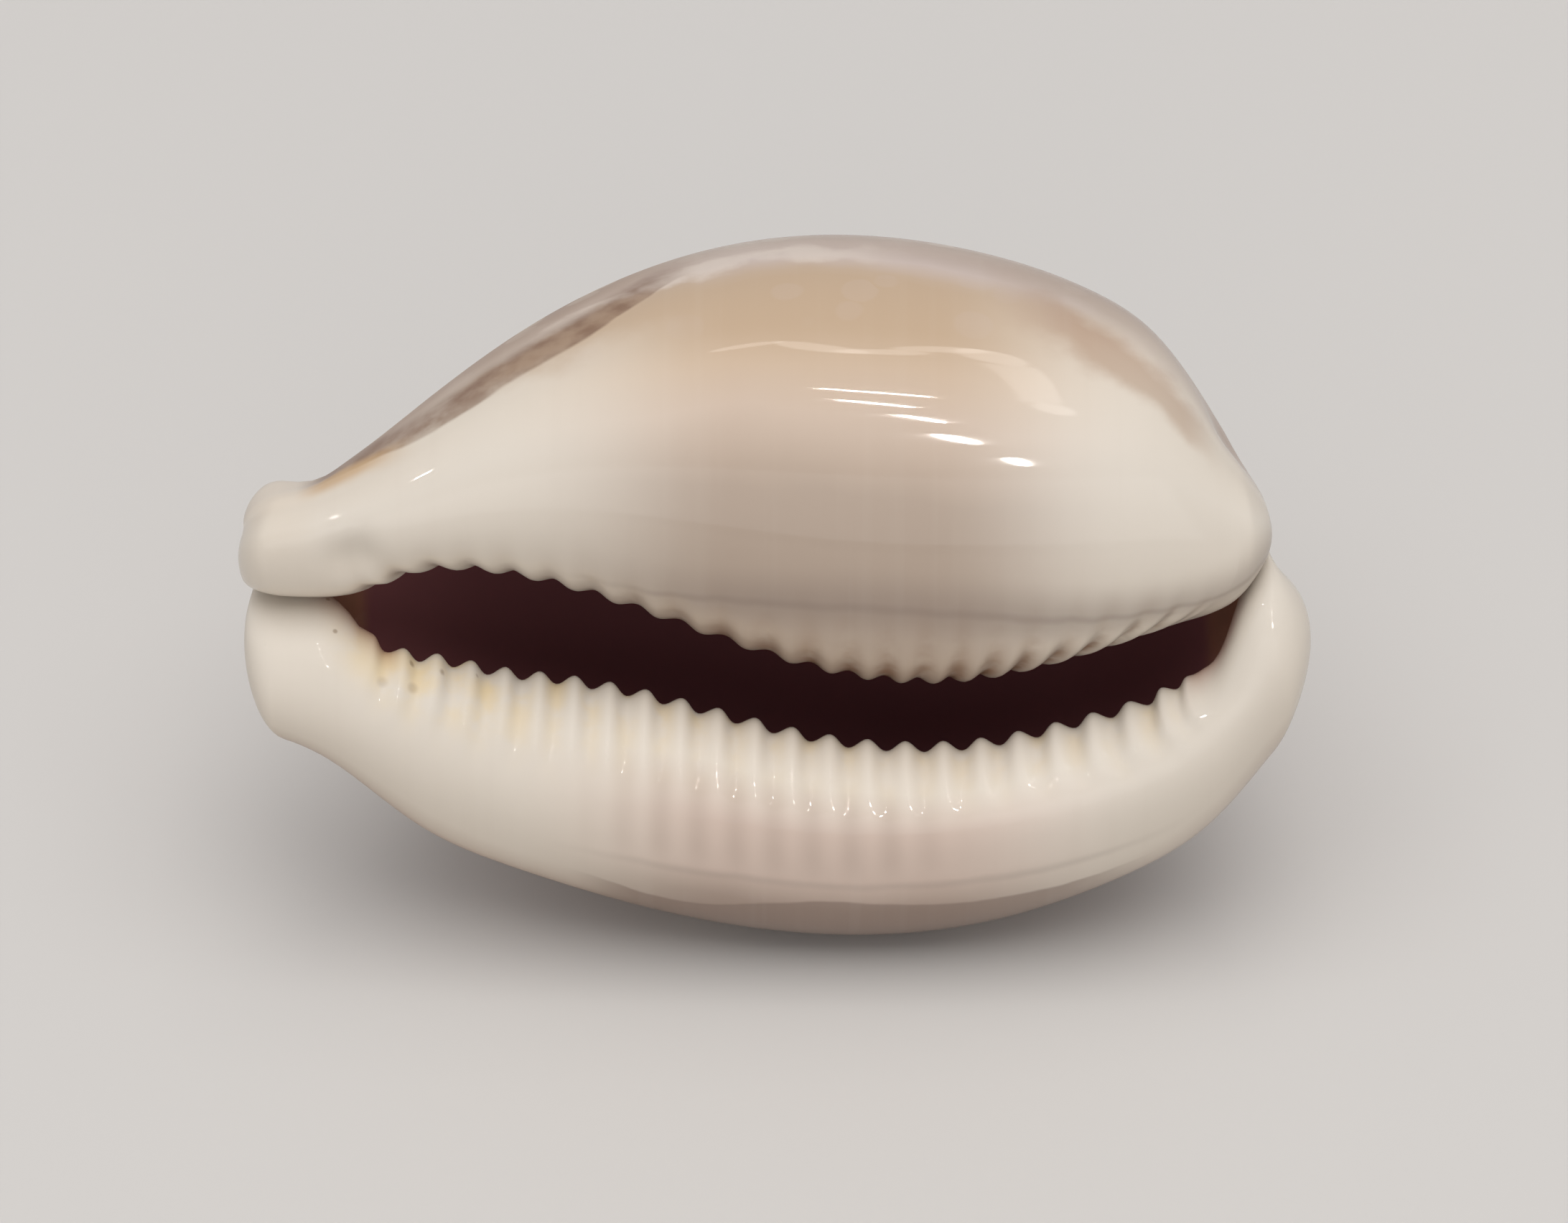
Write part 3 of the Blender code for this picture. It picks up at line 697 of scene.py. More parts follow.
class Bench:
    """A node tree that is being built."""

    def __init__(self, tree: bpy.types.NodeTree) -> None:
        """Starts with a tree and whatever it holds."""
        self.tree = tree

    def add(self, kind: str, values: dict | None = None, **settings: object) -> bpy.types.Node:
        """Adds a node.

        Args:
            kind: The node's type.
            values: A value, or the socket to link, for each input by its name or number.
            **settings: The node's own settings.

        Returns:
            The node.
        """
        node = self.tree.nodes.new(kind)
        for name, value in settings.items():
            setattr(node, name, value)
        for key, value in (values or {}).items():
            if isinstance(value, bpy.types.NodeSocket):
                self.tree.links.new(value, node.inputs[key])
            else:
                node.inputs[key].default_value = value
        return node

    def math(self, operation: str, a: object, b: object = 0.0, c: object = 0.0) -> object:
        """The result of a Math node on numbers or sockets."""
        return self.add("ShaderNodeMath", dict(enumerate((a, b, c))), operation=operation).outputs[0]

    def scaled(self, value: object, factor: float, more: object) -> object:
        """The value times a factor, and some more."""
        return self.math("MULTIPLY_ADD", value, factor, more)

    def away(self, value: object, place: object) -> object:
        """How far a value is from a place on its measure."""
        return self.math("ABSOLUTE", self.math("SUBTRACT", value, place))

    def mix(self, share: object, a: object, b: object) -> object:
        """The colour between a and b."""
        return self.add("ShaderNodeMix", {0: share, 6: a, 7: b}, data_type="RGBA").outputs[2]

    def named(self, name: str) -> object:
        """The value of one of the geometry's attributes, in a geometry tree."""
        values = {"Name": name}
        return self.add("GeometryNodeInputNamedAttribute", values, data_type="FLOAT").outputs[0]

    def attribute(self, name: str) -> object:
        """The value of one of the mesh's attributes, in a shader tree."""
        return self.add("ShaderNodeAttribute", attribute_name=name, attribute_type="GEOMETRY").outputs["Fac"]

    def step(self, value: object, low: float, high: float) -> object:
        """A smooth step from 0 at low to 1 at high, which may be the lower number."""
        values = {"Value": value, "From Min": low, "From Max": high}
        return self.add("ShaderNodeMapRange", values, interpolation_type="SMOOTHSTEP").outputs[0]

    def zone(self, value: object, zone: Zone) -> object:
        """The share of a zone: 0 at its first number, 1 from its second to its third, 0 again at its fourth.

        A zone of two numbers doesn't fall again.
        """
        rise = self.step(value, zone[0], zone[1])
        return rise if len(zone) == 2 else self.math("MULTIPLY", rise, self.step(value, zone[3], zone[2]))

    def either(self, value: object, first: Zone, second: Zone) -> object:
        """The larger of the shares of two zones."""
        return self.math("MAXIMUM", self.zone(value, first), self.zone(value, second))

    def times(self, *values: object) -> object:
        """The product of several numbers or sockets."""
        result = values[0]
        for value in values[1:]:
            result = self.math("MULTIPLY", result, value)
        return result

    def noise(self, vector: object, scale: float, detail: float = 2.0) -> object:
        """The value of a Noise texture."""
        values = {"Vector": vector, "Scale": scale, "Detail": detail}
        return self.add("ShaderNodeTexNoise", values).outputs[0]

    def group(self, tree: bpy.types.NodeTree, values: dict) -> bpy.types.NodeOutputs:
        """The outputs of a node that uses a group."""
        return self.add("ShaderNodeGroup", values, node_tree=tree).outputs


@dataclass(frozen=True)
class Speck:
    """A small brown pit by the teeth, at a place of the surface."""

    x: float
    around: float
    radius: float
    strength: float = 0.5


@dataclass(frozen=True)
class Mark:
    """A marking of the enamel.

    Attributes:
        colour: Its colour.
        strength: How much it covers where it is fullest.
        across: Its zone on the measure that it is laid by.
        along: Its zone along the shell, in millimetres.
    """

    colour: Colour
    strength: float = 1.0
    across: Zone = ()
    along: Zone = ()


class Enamel(Bench):
    """The node tree of the enamel, with the colour that its markings are laid over one by one."""

    def __init__(self, tree: bpy.types.NodeTree) -> None:
        """Starts with the place on the shell, in metres, and the x along it, in millimetres."""
        super().__init__(tree)
        self.place = self.add("ShaderNodeTexCoord").outputs["Object"]
        self.x = self.math("MULTIPLY", self.add("ShaderNodeSeparateXYZ", {0: self.place}).outputs[0], 1 / MM)
        self.colour: object = None

    def grain(self, grain: Grain) -> object:
        """The value of a noise over the shell."""
        return self.noise(self.place, *grain)

    def lay(self, mark: Mark, across: object, *shares: object) -> None:
        """Lays a marking over the colour.

        Args:
            mark: The marking.
            across: The measure that its zone across is on, or None where it has no such zone.
            *shares: Further shares that cut it down.
        """
        cover = [self.zone(across, mark.across)] if mark.across else []
        if mark.along:
            cover.append(self.zone(self.x, mark.along))
        self.colour = self.mix(self.times(*cover, *shares, mark.strength), self.colour, mark.colour)


@dataclass(frozen=True)
class ShellFinish:
    """The enamel of the shell: its colours, and its markings with where they lie.

    Zones along the shell are in millimetres. Those across it are section parameters, from 0 at the columellar
    teeth over the back to 16 at the labial teeth, or millimetres from a line that a marking follows.
    """

    cream: Colour = srgb(226, 216, 202)
    white: Colour = srgb(231, 224, 213)
    tooth: Colour = srgb(184, 166, 149)
    under: Colour = srgb(176, 158, 142)
    dome: Colour = srgb(203, 183, 165)
    tan: Colour = srgb(202, 179, 155)
    band: Colour = srgb(193, 168, 141)
    # Lilac: in the ramp, a painted reflection along the top edge; also the colour of the faint spots.
    lilac: Colour = srgb(204, 187, 177)
    margin: Colour = srgb(170, 146, 128)
    back: Colour = srgb(150, 113, 85)
    # Dusk and low_lip: the back's grey-brown running down to the labial margin, darkened with painted shade
    # of the underside.
    dusk: Colour = srgb(128, 108, 96)
    low_lip: Colour = srgb(168, 148, 134)
    rose: Colour = srgb(208, 188, 174)
    stain: Colour = srgb(226, 204, 160)
    groove: Colour = srgb(134, 98, 70)
    line: Colour = srgb(134, 118, 108)
    # Painted shade: a reddish brown for the canals' inner walls and the cavity's rim, where they turn into
    # shadow.
    throat_shade: Colour = srgb(168, 114, 94)
    pit: Colour = srgb(120, 88, 52)

    bands: Mark = Mark(srgb(116, 82, 60), 0.5, (6.2, 7.2, 11.6, 12.6))
    spots: Mark = Mark(srgb(206, 190, 172), 0.85, (6.2, 7.2, 11.6, 12.6))
    faint_spots: Mark = Mark(lilac, 0.14, (5.2, 5.6, 6.1, 6.5))
    rear_blotch: Mark = Mark(srgb(178, 148, 124), 0.75, (0.42, 0.1), (11.0, 17.0, 22.0, 24.5))
    rear_blotch_place: tuple[float, float] = (-0.052, 6.56)
    front_trail: Mark = Mark(band, 0.85, (5.35, 5.75, 5.95, 6.15), (-19.0, -14.0, -6.0, -1.0))
    # Painted reflection: a thin pale line along the top edge of the columellar margin.
    top_edge_sheen: Mark = Mark(srgb(226, 212, 198), 0.6, (0.16, 0.02), (-17.0, -9.0, 2.0, 8.0))
    top_edge_sheen_place: float = 6.12
    sway: float = 0.5
    shoulder: Mark = Mark(srgb(128, 98, 78), 1.0, (0.5, 0.9, 3.0, 6.0), (-4.0, -8.0))
    shoulder_sway: float = 1.2
    shoulder_mottle: tuple[float, float] = (-0.35, 0.9)
    beak_amber: Mark = Mark(srgb(206, 170, 124), 0.75, (-0.9, 0.4, 0.8, 2.2), (-19.0, -23.0))
    tips: Mark = Mark(cream, 0.85, (9.0, 7.4))
    end_tint: Mark = Mark(srgb(196, 184, 168), 0.4)

    crease: Mark = Mark(line, 0.3, (0.5, 0.0), (-14.0, -4.0))
    crease_shade: Mark = Mark(line, 0.42, (-2.4, 0.0, 0.0, 3.0), (-14.0, 0.0))
    lip_line: Mark = Mark(line, 0.2, (0.5, 0.0), (-14.0, -4.0, 16.0, 24.0))
    # Partly the back's grey-brown, partly painted shade of the underside, up to the dusk line.
    back_grey_and_underside_shade: Mark = Mark(dusk, 0.65, (-9.0, -3.0, -0.15, 0.15), (-12.0, -7.0, 15.0, 22.0))
    dark_hairs: Mark = Mark(under, 0.04, (0.5, 0.8))
    pale_hairs: Mark = Mark(white, 0.025, (0.5, 0.25))

    labial_stain: Mark = Mark(stain)
    labial_fill: tuple[float, float] = (0.35, 0.45)
    front_wash: Mark = Mark(stain, 0.5, (14.5, 15.3), (-25.5, -22.0, -17.0, -12.0))
    groove_brown: Mark = Mark(groove)
    groove_brown_fill: tuple[float, float] = (0.5, 0.45)
    tooth_edge: Mark = Mark(groove, 0.75, (1.9, 0.5), (-8.0, 3.0, 17.0, 23.0))
    fan: Mark = Mark(low_lip, 0.3, (13.5, 14.0, 14.6, 15.2), (-12.0, -5.0, 6.0, 12.0))
    # Painted shade on the canals' inner walls and on the rim of the cavity.
    canal_wall_shade: Mark = Mark(throat_shade, 0.7)
    cavity_rim_shade: Mark = Mark(throat_shade, 0.8, (0.02, 0.3))
    cavity: Mark = Mark(srgb(146, 92, 94), 1.0, (0.25, 1.0))

    front_end: Zone = (-2.0, -17.0)
    rear_end: Zone = (8.0, 22.0)
    front_tint: Zone = (-3.0, -17.0)
    rear_tint: Zone = (13.0, 22.0)
    front_tip: Zone = (-24.5, -26.5)
    rear_tip: Zone = (27.0, 28.5)
    base_side: Zone = (5.9, 5.3)
    lip_side: Zone = (12.4, 13.2)
    front_canal: Zone = (-26.6, -24.4, -22.0, -20.0)
    rear_canal: Zone = (22.0, 23.5, 25.2, 26.5)
    stained_front: Zone = (4.0, -18.0)
    groove_brown_along: Zone = (-8.0, 6.0, 20.0, 26.0)
    groove_brown_edge: Zone = (3.3, 2.5)
    groove_brown_edge_fill: tuple[float, float] = (0.5, 0.5)
    dull_shoulder: Zone = (-0.5, 1.0)
    dull_along: Zone = (-2.0, -9.0)
    dull_share: float = 0.8

    cloud_grain: Grain = (70.0, 3.0)
    rim_grain: Grain = (330.0, 4.0)
    shoulder_grain: Grain = (240.0, 2.0)
    mottle_grain: Grain = (620.0, 3.0)
    mottle_edge: Zone = (0.3, 0.7)
    stain_grain: Grain = (420.0, 3.0)
    stain_edge: Zone = (0.32, 0.62)
    line_grain: Grain = (300.0, 2.0)
    hair_stretch: Point = (1100.0, 24.0, 24.0)
    hair_detail: float = 3.0
    ripple_grain: Grain = (230.0, 2.0)
    ripple_depth: float = 0.0000015

    pit_edge: tuple[float, float] = (1.5, 0.5)

    spot_spacing: float = 330.0
    spot_warp: Grain = (160.0, 1.0)
    spot_push: float = 0.0012
    spot_scatter: float = 0.72
    spot_size: tuple[float, float] = (0.14, 0.27)
    spot_edge: Zone = (-0.035, 0.05)
    band_rate: float = 420.0
    band_grain: Grain = (90.0, 2.0)
    band_sway: tuple[float, float] = (1.6, -0.8)
    band_edge: Zone = (0.1, 0.95)

    roughness: float = 0.3
    cavity_roughness: float = 0.35
    cloud_roughness: float = 0.08
    specular: float = 0.08
    coat: float = 0.6
    coat_roughness: float = 0.035
    specks: tuple[Speck, ...] = (
        Speck(-24.7, 15.9, 0.12),
        Speck(-24.2, 15.3, 0.13),
        Speck(-20.0, 15.75, 0.2),
        Speck(-18.5, 15.6, 0.2),
        Speck(-16.6, 15.7, 0.15),
        Speck(-19.9, 15.2, 0.3, 0.25),
        Speck(-21.6, 15.1, 0.3, 0.2),
        Speck(27.3, 15.2, 0.16),
    )

    def ramp(self, bench: Bench, value: object, stops: Stops) -> object:
        """The colour of a ramp round the section.

        Args:
            bench: The node tree's bench.
            value: The section parameter, 0 to 16.
            stops: The ramp's stops, as (section parameter, colour).

        Returns:
            The colour's socket.
        """
        node = bench.add("ShaderNodeValToRGB", {"Fac": bench.math("DIVIDE", value, LAST_KEY)})
        elements = node.color_ramp.elements
        elements[0].position, elements[0].color = stops[0][0] / LAST_KEY, stops[0][1]
        elements[1].position, elements[1].color = stops[-1][0] / LAST_KEY, stops[-1][1]
        for position, colour in stops[1:-1]:
            elements.new(position / LAST_KEY).color = colour
        return node.outputs[0]

    def spots_group(self) -> bpy.types.NodeTree:
        """The group of the back's pattern: round pale spots on brown, with darker bands across the shell."""
        tree = bpy.data.node_groups.new("Deer spots", "ShaderNodeTree")
        face = tree.interface
        face.new_socket("Position", in_out="INPUT", socket_type="NodeSocketVector")
        spacing = face.new_socket("Spacing", in_out="INPUT", socket_type="NodeSocketFloat")
        spacing.default_value = self.spot_spacing
        face.new_socket("Spots", in_out="OUTPUT", socket_type="NodeSocketFloat")
        face.new_socket("Bands", in_out="OUTPUT", socket_type="NodeSocketFloat")
        bench = Bench(tree)
        given = bench.add("NodeGroupInput").outputs
        position = given["Position"]
        values = {"Vector": position, "Scale": self.spot_warp[0], "Detail": self.spot_warp[1]}
        warp = bench.add("ShaderNodeTexNoise", values).outputs[1]
        values = {0: warp, 1: (0.5, 0.5, 0.5)}
        centred = bench.add("ShaderNodeVectorMath", values, operation="SUBTRACT").outputs[0]
        values = {0: centred, "Scale": self.spot_push}
        push = bench.add("ShaderNodeVectorMath", values, operation="SCALE").outputs[0]
        bent = bench.add("ShaderNodeVectorMath", {0: position, 1: push}, operation="ADD").outputs[0]
        values = {"Vector": bent, "Scale": given["Spacing"], "Randomness": self.spot_scatter}
        cells = bench.add("ShaderNodeTexVoronoi", values).outputs
        chance = bench.add("ShaderNodeSeparateColor", {0: cells["Color"]}).outputs[0]
        edge = bench.math("SUBTRACT", bench.scaled(chance, *self.spot_size), cells["Distance"])
        x = bench.add("ShaderNodeSeparateXYZ", {0: position}).outputs[0]
        sway = bench.scaled(bench.noise(position, *self.band_grain), *self.band_sway)
        wave = bench.math("SINE", bench.scaled(x, self.band_rate, sway))
        values = {"Spots": bench.zone(edge, self.spot_edge), "Bands": bench.zone(wave, self.band_edge)}
        bench.add("NodeGroupOutput", values)
        return tree

    def ground(self, enamel: Enamel, height: object) -> None:
        """Lays the colours round the section, those of the middle changing to those of the two ends."""
        middle = (
            (0.0, self.tooth),
            (3.2, self.tooth),
            (3.6, self.under),
            (4.3, self.under),
            (4.8, self.dome),
            (5.15, self.tan),
            (5.4, self.band),
            (5.85, self.band),
            # Painted reflection: the lilac stop lies along the top edge, at the columellar margin.
            (6.05, self.lilac),
            (6.5, self.margin),
            (7.3, self.back),
            (11.6, self.back),
            # The dusk and low_lip stops, on the underside by the labial margin, are partly painted shade.
            (12.5, self.dusk),
            (13.3, self.low_lip),
            (13.7, self.rose),
            (14.3, self.rose),
            (15.0, self.cream),
            (LAST_KEY, self.cream),
        )
        ends = (
            (0.0, self.cream),
            (3.4, self.cream),
            (4.6, self.white),
            (5.6, self.cream),
            (6.4, self.margin),
            (7.3, self.back),
            (11.6, self.back),
            (12.4, self.margin),
            (13.3, self.cream),
            (15.0, self.white),
            (LAST_KEY, self.white),
        )
        share = enamel.either(enamel.x, self.front_end, self.rear_end)
        enamel.colour = enamel.mix(share, self.ramp(enamel, height, middle), self.ramp(enamel, height, ends))

    def back_pattern(self, enamel: Enamel, height: object) -> None:
        """Lays the back's bands and spots, a painted reflection along the top edge beside them and the brown
        of the front shoulder.
        """
        pattern = enamel.group(self.spots_group(), {"Position": enamel.place})
        enamel.lay(self.bands, height, pattern["Bands"])
        enamel.lay(self.spots, height, pattern["Spots"])
        enamel.lay(self.faint_spots, height, pattern["Spots"])
        lower = enamel.math("SUBTRACT", height, self.sway / 2)
        rough = enamel.scaled(enamel.grain(self.rim_grain), self.sway, lower)
        enamel.lay(self.rear_blotch, enamel.away(rough, enamel.scaled(enamel.x, *self.rear_blotch_place)))
        enamel.lay(self.front_trail, rough)
        # Painted reflection along the top edge.
        enamel.lay(self.top_edge_sheen, enamel.away(rough, self.top_edge_sheen_place))
        ragged = enamel.grain(self.shoulder_grain)
        shoulder = enamel.scaled(ragged, self.shoulder_sway, enamel.attribute("shoulder"))
        mottle = enamel.zone(enamel.grain(self.mottle_grain), self.mottle_edge)
        enamel.lay(self.shoulder, shoulder, enamel.scaled(mottle, *self.shoulder_mottle))
        enamel.lay(self.beak_amber, shoulder)
        enamel.lay(self.tips, height, enamel.either(enamel.x, self.front_tip, self.rear_tip))
        ends = enamel.either(enamel.x, self.front_tint, self.rear_tint)
        enamel.lay(self.end_tint, None, ends, enamel.either(height, self.base_side, self.lip_side))

    def lines(self, enamel: Enamel) -> None:
        """Lays the growth lines, painted shade beside the crease, the darker strip under the outer lip,
        partly the back's grey-brown and partly painted shade of the underside, and the fine hairs of the
        enamel.
        """
        shake = enamel.scaled(enamel.grain(self.line_grain), self.sway, -self.sway / 2)
        crease, lip_line, dusk_line = (
            enamel.math("ADD", enamel.attribute(name), shake) for name in ("crease", "lip line", "dusk line")
        )
        enamel.lay(self.crease, enamel.math("ABSOLUTE", crease))
        enamel.lay(self.crease_shade, crease)
        enamel.lay(self.lip_line, enamel.math("ABSOLUTE", lip_line))
        # Partly the back's grey-brown, partly painted shade of the underside.
        enamel.lay(self.back_grey_and_underside_shade, dusk_line)
        values = {"Vector": enamel.place, "Scale": self.hair_stretch}
        hairs = enamel.noise(enamel.add("ShaderNodeMapping", values).outputs[0], 1.0, self.hair_detail)
        enamel.lay(self.dark_hairs, hairs)
        enamel.lay(self.pale_hairs, hairs)

    def stains(self, enamel: Enamel, inside: object) -> None:
        """Lays the pale stains and the brown in the grooves between the teeth, the stripes below them, and
        painted shade on the canals' walls and on the rim of the cavity.
        """
        shallow = enamel.math("SUBTRACT", 1.0, enamel.attribute("crest"))
        labial, columellar = enamel.attribute(Lip.LABIAL.value), enamel.attribute(Lip.COLUMELLAR.value)
        around = enamel.attribute("around")
        patchy = enamel.zone(enamel.grain(self.stain_grain), self.stain_edge)
        fill = enamel.scaled(enamel.zone(enamel.x, self.stained_front), *self.labial_fill)
        enamel.lay(self.labial_stain, None, shallow, labial, patchy, fill)
        enamel.lay(self.front_wash, around, patchy)
        # Brown in the grooves of the columellar teeth, stronger towards the lip's edge and between x 6 and 20
        # mm.
        edge = enamel.scaled(enamel.zone(around, self.groove_brown_edge), *self.groove_brown_edge_fill)
        fill = enamel.scaled(enamel.zone(enamel.x, self.groove_brown_along), *self.groove_brown_fill)
        enamel.lay(self.groove_brown, None, shallow, columellar, patchy, edge, fill)
        enamel.lay(self.tooth_edge, around, patchy)
        enamel.lay(self.fan, around, shallow)
        canals = enamel.either(enamel.x, self.front_canal, self.rear_canal)
        # Painted shade: brown on the canals' inner walls and on the rim of the cavity.
        enamel.lay(self.canal_wall_shade, None, canals, enamel.attribute("wall"))
        enamel.lay(self.cavity_rim_shade, inside)

    def pits(self, enamel: Enamel, locate: Callable[[float, float], Vector]) -> None:
        """Lays the specks, at the points that locate gives for their places."""
        for speck in self.specks:
            values = {0: enamel.place, 1: locate(speck.x, speck.around)}
            away = enamel.add("ShaderNodeVectorMath", values, operation="DISTANCE").outputs["Value"]
            spread = tuple(share * speck.radius * MM for share in self.pit_edge)
            enamel.lay(Mark(self.pit, speck.strength, spread), away)

    def material(self, locate: Callable[[float, float], Vector]) -> bpy.types.Material:
        """The finished material of the shell.

        Args:
            locate: Gives the point of the finished surface at an x, in millimetres, and a section parameter.

        Returns:
            The material.
        """
        material = bpy.data.materials.new("shell enamel")
        material.use_nodes = True
        enamel = Enamel(material.node_tree)
        inside = enamel.attribute("inside")
        cloud = enamel.grain(self.cloud_grain)
        drift = enamel.scaled(cloud, self.sway, -self.sway / 2)
        height = enamel.math("ADD", enamel.attribute("around"), drift)

        self.ground(enamel, height)
        self.back_pattern(enamel, height)
        self.lines(enamel)
        self.stains(enamel, inside)
        self.pits(enamel, locate)
        enamel.lay(self.cavity, inside)

        rough = enamel.scaled(inside, self.cavity_roughness, self.roughness)
        rough = enamel.scaled(cloud, self.cloud_roughness, rough)
        shoulder = enamel.zone(enamel.attribute("shoulder"), self.dull_shoulder)
        dull = enamel.times(shoulder, enamel.zone(enamel.x, self.dull_along), self.dull_share)
        shiny = enamel.math("SUBTRACT", 1.0, enamel.math("MAXIMUM", inside, dull))
        values = {"Strength": 1.0, "Distance": self.ripple_depth, "Height": enamel.grain(self.ripple_grain)}
        linked = {
            "Base Color": enamel.colour,
            "Roughness": rough,
            "Coat Weight": enamel.math("MULTIPLY", shiny, self.coat),
            "Normal": enamel.add("ShaderNodeBump", values).outputs[0],
        }
        surface = material.node_tree.nodes["Principled BSDF"]
        for name, socket in linked.items():
            material.node_tree.links.new(socket, surface.inputs[name])
        surface.inputs["Coat Roughness"].default_value = self.coat_roughness
        surface.inputs["Specular IOR Level"].default_value = self.specular
        return material


@dataclass(frozen=True)
class SoftBox:
    """A broad flat light.

    Attributes:
        name: Its name.
        place: Where it stands, in metres.
        size: Its width and height.
        glow: How bright its face is.
        tint: Its colour.
        mirrored: Whether the enamel mirrors it.
    """

    name: str
    place: Point
    size: tuple[float, float]
    glow: float
    tint: Point
    mirrored: bool


@dataclass
class Studio:
    """The floor, the lights and the camera, in metres and degrees.

    Attributes:
        aim: The point that the camera and the soft boxes face.
        shine: The top of the shell, which the lamps and the tube are set out from.
        photo_size: The width and height of the photo, in pixels.
        lamps: Small lamps, each as the pixel of the photo where the shell mirrors it, and its size.
        tube: The pixels where the shell mirrors the corners of a bent glowing tube.
    """

    floor_size: float = 1.6
    floor_colour: Colour = srgb(208, 205, 201)
    floor_roughness: float = 0.7
    aim: Point = (0.00044, -0.00475, 0.0178)
    azimuth: float = 0.0
    elevation: float = 40.0
    distance: float = 0.40
    lens: float = 164.2
    sensor: float = 36.0
    nearest: float = 0.01
    sky_colour: Colour = (0.95, 0.96, 1.0, 1.0)
    sky_strength: float = 0.46
    boxes: tuple[SoftBox, ...] = (
        SoftBox("overhead", (0.0, -0.30, 1.20), (1.5, 1.0), 1.75, (1.0, 0.98, 0.96), False),
        SoftBox("front", (0.0, -1.15, 0.42), (1.2, 0.7), 0.85, (1.0, 0.98, 0.96), True),
        SoftBox("window", (0.04, -0.2, 1.15), (0.36, 1.25), 1.6, (1.0, 0.97, 0.95), False),
    )
    shine: Point = (0.008, -0.0076, 0.034)
    lamp_distance: float = 1.2
    lamp_glow: float = 260.0
    lamp_tint: Point = (1.0, 0.97, 0.93)
    small_lamp: float = 0.3
    photo_size: tuple[int, int] = (2184, 1703)
    lamps: tuple[tuple[tuple[int, int], tuple[float, float]], ...] = (
        ((1203, 545), (0.0045, 0.08)),
        ((1213, 562), (0.0045, 0.07)),
        ((1291, 584), (0.006, 0.08)),
        ((1335, 612), (0.016, 0.11)),
        ((1423, 643), (0.014, 0.09)),
        ((570, 670), (0.020, 0.03)),
    )
    tube: tuple[tuple[int, int], ...] = (
        ((983, 491), (1080, 475), (1180, 492), (1260, 488))
        + ((1365, 486), (1420, 510), (1460, 560), (1496, 579))
    )
    tube_width: float = 0.045
    tube_glow: float = 3.0
    tube_tint: Point = (1.0, 0.95, 0.9)

    def floor(self) -> None:
        """The plain pale floor that the shell lies on."""
        half = self.floor_size / 2
        mesh = bpy.data.meshes.new("floor")
        corners = [(-half, -half, 0), (half, -half, 0), (half, half, 0), (-half, half, 0)]
        mesh.from_pydata(corners, [], [(0, 1, 2, 3)])
        material = bpy.data.materials.new("pale floor")
        material.use_nodes = True
        surface = material.node_tree.nodes["Principled BSDF"]
        surface.inputs["Base Color"].default_value = self.floor_colour
        surface.inputs["Roughness"].default_value = self.floor_roughness
        mesh.materials.append(material)
        floor = bpy.data.objects.new("floor", mesh)
        bpy.context.scene.collection.objects.link(floor)

    def light(
        self, name: str, place: Vector, size: tuple[float, float], glow: float, tint: Point
    ) -> bpy.types.Object:
        """Adds a flat light that faces the shell.

        Args:
            name: The light's name.
            place: Where it stands.
            size: Its width and height.
            glow: How bright its face is.
            tint: Its colour.

        Returns:
            The light.
        """
        lamp = bpy.data.lights.new(name, "AREA")
        lamp.shape = "ELLIPSE" if max(size) < self.small_lamp else "RECTANGLE"
        lamp.size, lamp.size_y = size
        lamp.energy = glow * math.pi * size[0] * size[1]
        lamp.color = tint
        holder = bpy.data.objects.new(name, lamp)
        holder.location = place
        holder.rotation_mode = "QUATERNION"
        holder.rotation_quaternion = (place - Vector(self.aim)).to_track_quat("Z", "Y")
        bpy.context.scene.collection.objects.link(holder)
        return holder

    @staticmethod
    def direction(azimuth: float, elevation: float) -> Vector:
        """The direction of an azimuth, which is 0 to the front, and an elevation, in degrees."""
        turn, rise = math.radians(azimuth), math.radians(elevation)
        return Vector((math.sin(turn) * math.cos(rise), -math.cos(turn) * math.cos(rise), math.sin(rise)))

    def mirrored(self, mesh: bpy.types.Mesh, pixels: list[tuple[int, int]]) -> list[Vector]:
        """The directions that the shell mirrors at those pixels of the photo.

        Args:
            mesh: The shell's surface.
            pixels: Where the photo shows the reflections.

        Returns:
            A direction for each.
        """
        surface = BVHTree.FromPolygons([v.co for v in mesh.vertices], [p.vertices[:] for p in mesh.polygons])
        turn, back = math.radians(self.azimuth), self.direction(self.azimuth, self.elevation)
        right = Vector((math.cos(turn), math.sin(turn), 0))
        up = back.cross(right)
        width, height = self.photo_size
        focal = width * self.lens / self.sensor
        ways = []
        for across, down in pixels:
            sight = (right * (across - width / 2) - up * (down - height / 2)) / focal - back
            sight.normalize()
            hit, _, face, _ = surface.ray_cast(Vector(self.aim) + back * self.distance, sight)
            normal = Vector()
            for corner in (mesh.vertices[number] for number in mesh.polygons[face].vertices):
                normal += corner.normal / max((corner.co - hit).length, TINY)
            normal.normalize()
            ways.append(sight - 2 * sight.dot(normal) * normal)
        return ways

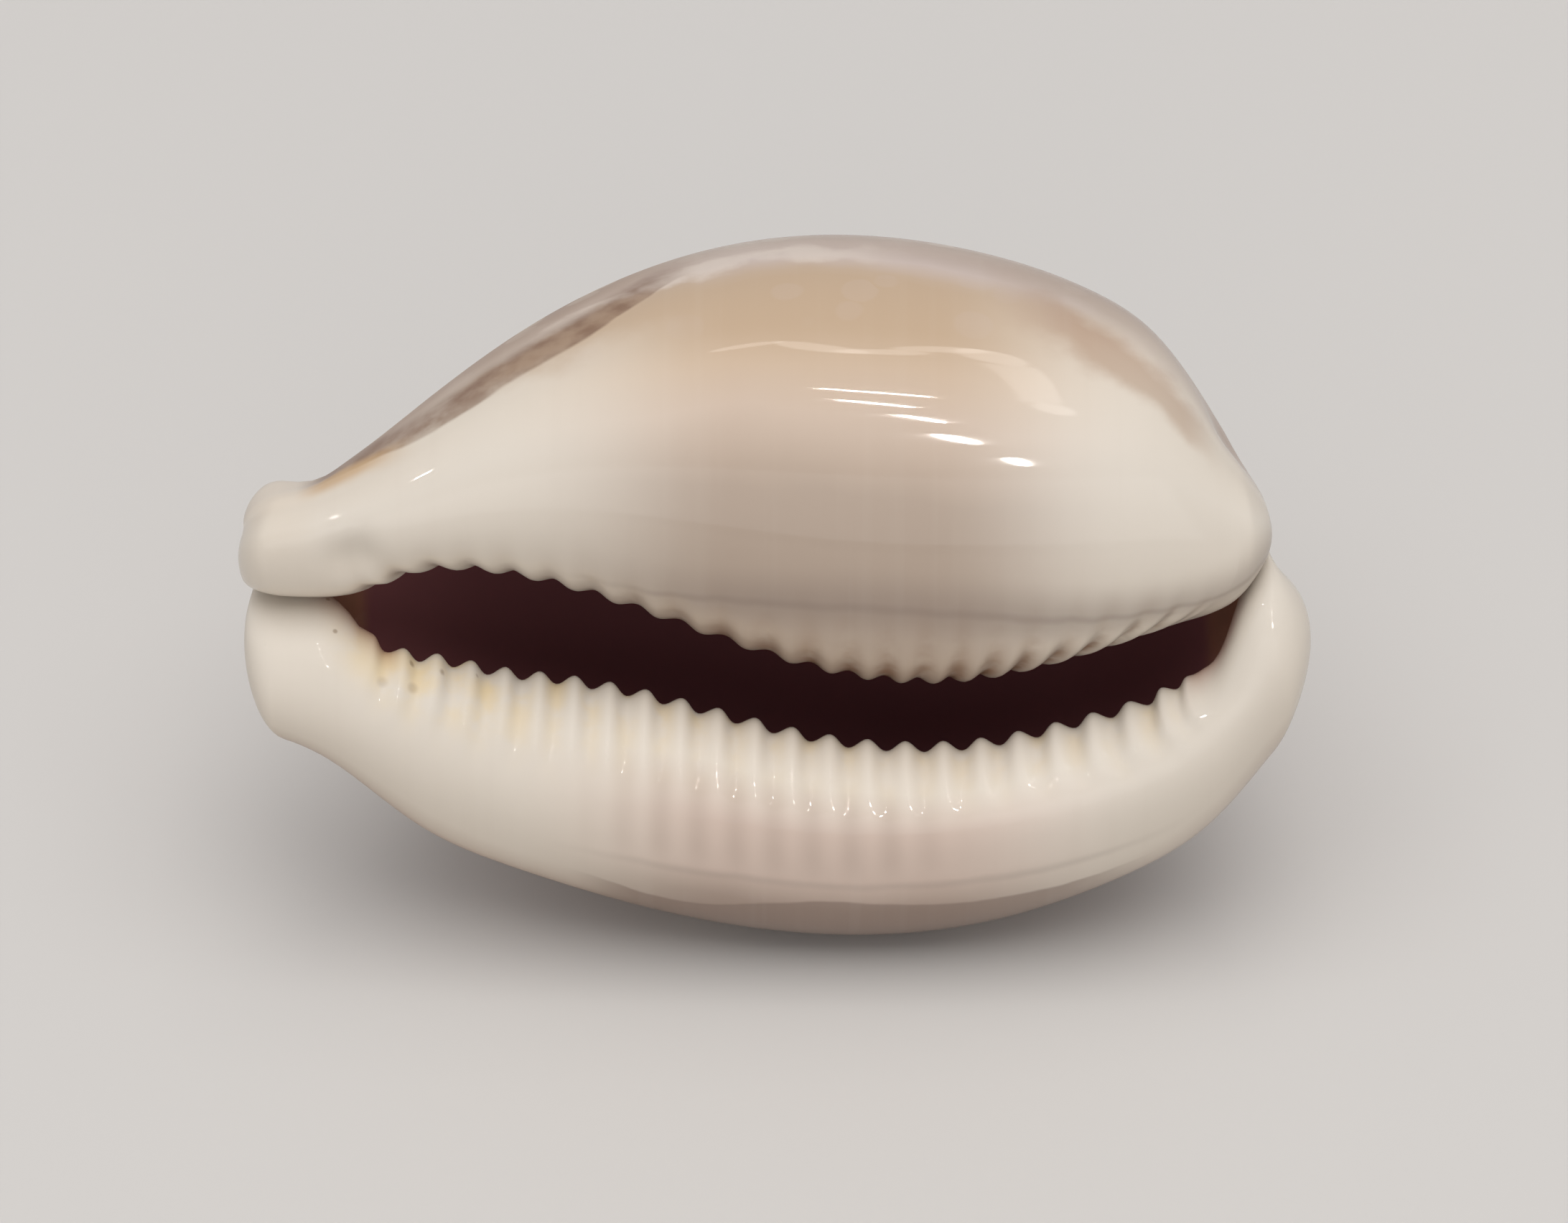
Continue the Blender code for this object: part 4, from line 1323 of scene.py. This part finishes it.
    def lights(self, mesh: bpy.types.Mesh) -> None:
        """Soft studio light from above, a bent tube, and an arc of small lamps from overhead to the front."""
        world = bpy.data.worlds.new("studio")
        bpy.context.scene.world = world
        world.use_nodes = True
        background = world.node_tree.nodes["Background"]
        background.inputs["Color"].default_value = self.sky_colour
        background.inputs["Strength"].default_value = self.sky_strength
        for box in self.boxes:
            light = self.light(box.name, Vector(box.place), box.size, box.glow, box.tint)
            light.visible_glossy = box.mirrored
        ways = self.mirrored(mesh, [pixel for pixel, _ in self.lamps])
        for number, (way, (_, size)) in enumerate(zip(ways, self.lamps)):
            azimuth, elevation = math.degrees(math.atan2(way.x, -way.y)), math.degrees(math.asin(way.z))
            set_way = self.direction(round(azimuth), round(elevation))
            place = Vector(self.shine) + set_way * self.lamp_distance
            lamp = self.light(f"lamp {number}", place, size, self.lamp_glow, self.lamp_tint)
            lamp.visible_diffuse = False
        ends = [Vector(self.shine) + way * self.lamp_distance for way in self.mirrored(mesh, list(self.tube))]
        for number, (start, end) in enumerate(zip(ends, ends[1:])):
            place, along = (start + end) / 2, end - start
            size = (along.length, self.tube_width)
            piece = self.light(f"tube {number}", place, size, self.tube_glow, self.tube_tint)
            facing = (place - Vector(self.shine)).normalized()
            across = facing.cross(along.normalized())
            turned = Matrix((along.normalized(), across, facing)).transposed()
            piece.rotation_quaternion = turned.to_quaternion()

    def camera(self) -> None:
        """The camera at the photograph's angle: in front of the shell and above it."""
        back = self.direction(self.azimuth, self.elevation)
        data = bpy.data.cameras.new("camera")
        data.lens = self.lens
        data.sensor_width = self.sensor
        data.clip_start = self.nearest
        camera = bpy.data.objects.new("camera", data)
        camera.location = Vector(self.aim) + back * self.distance
        camera.rotation_mode = "QUATERNION"
        camera.rotation_quaternion = back.to_track_quat("Z", "Y")
        bpy.context.scene.collection.objects.link(camera)
        bpy.context.scene.camera = camera

    def build(self, shell: bpy.types.Object) -> None:
        """Builds the floor, the lights and the camera round the shell."""
        self.floor()
        self.lights(shell.data)
        self.camera()


def main() -> None:
    """Builds the shell and the studio."""
    logging.basicConfig(level=logging.INFO, format="%(name)s: %(message)s")
    bpy.context.scene.view_settings.view_transform = "Standard"
    body = Body()
    shell = body.build(ShellFinish().material(body.locate))
    body.dress(shell)
    log.info("%s: %d faces, replaces the node shell", shell.name, len(shell.data.polygons))
    Studio().build(shell)
    log.info("studio: floor, lights and camera")


if __name__ == "__main__":
    main()
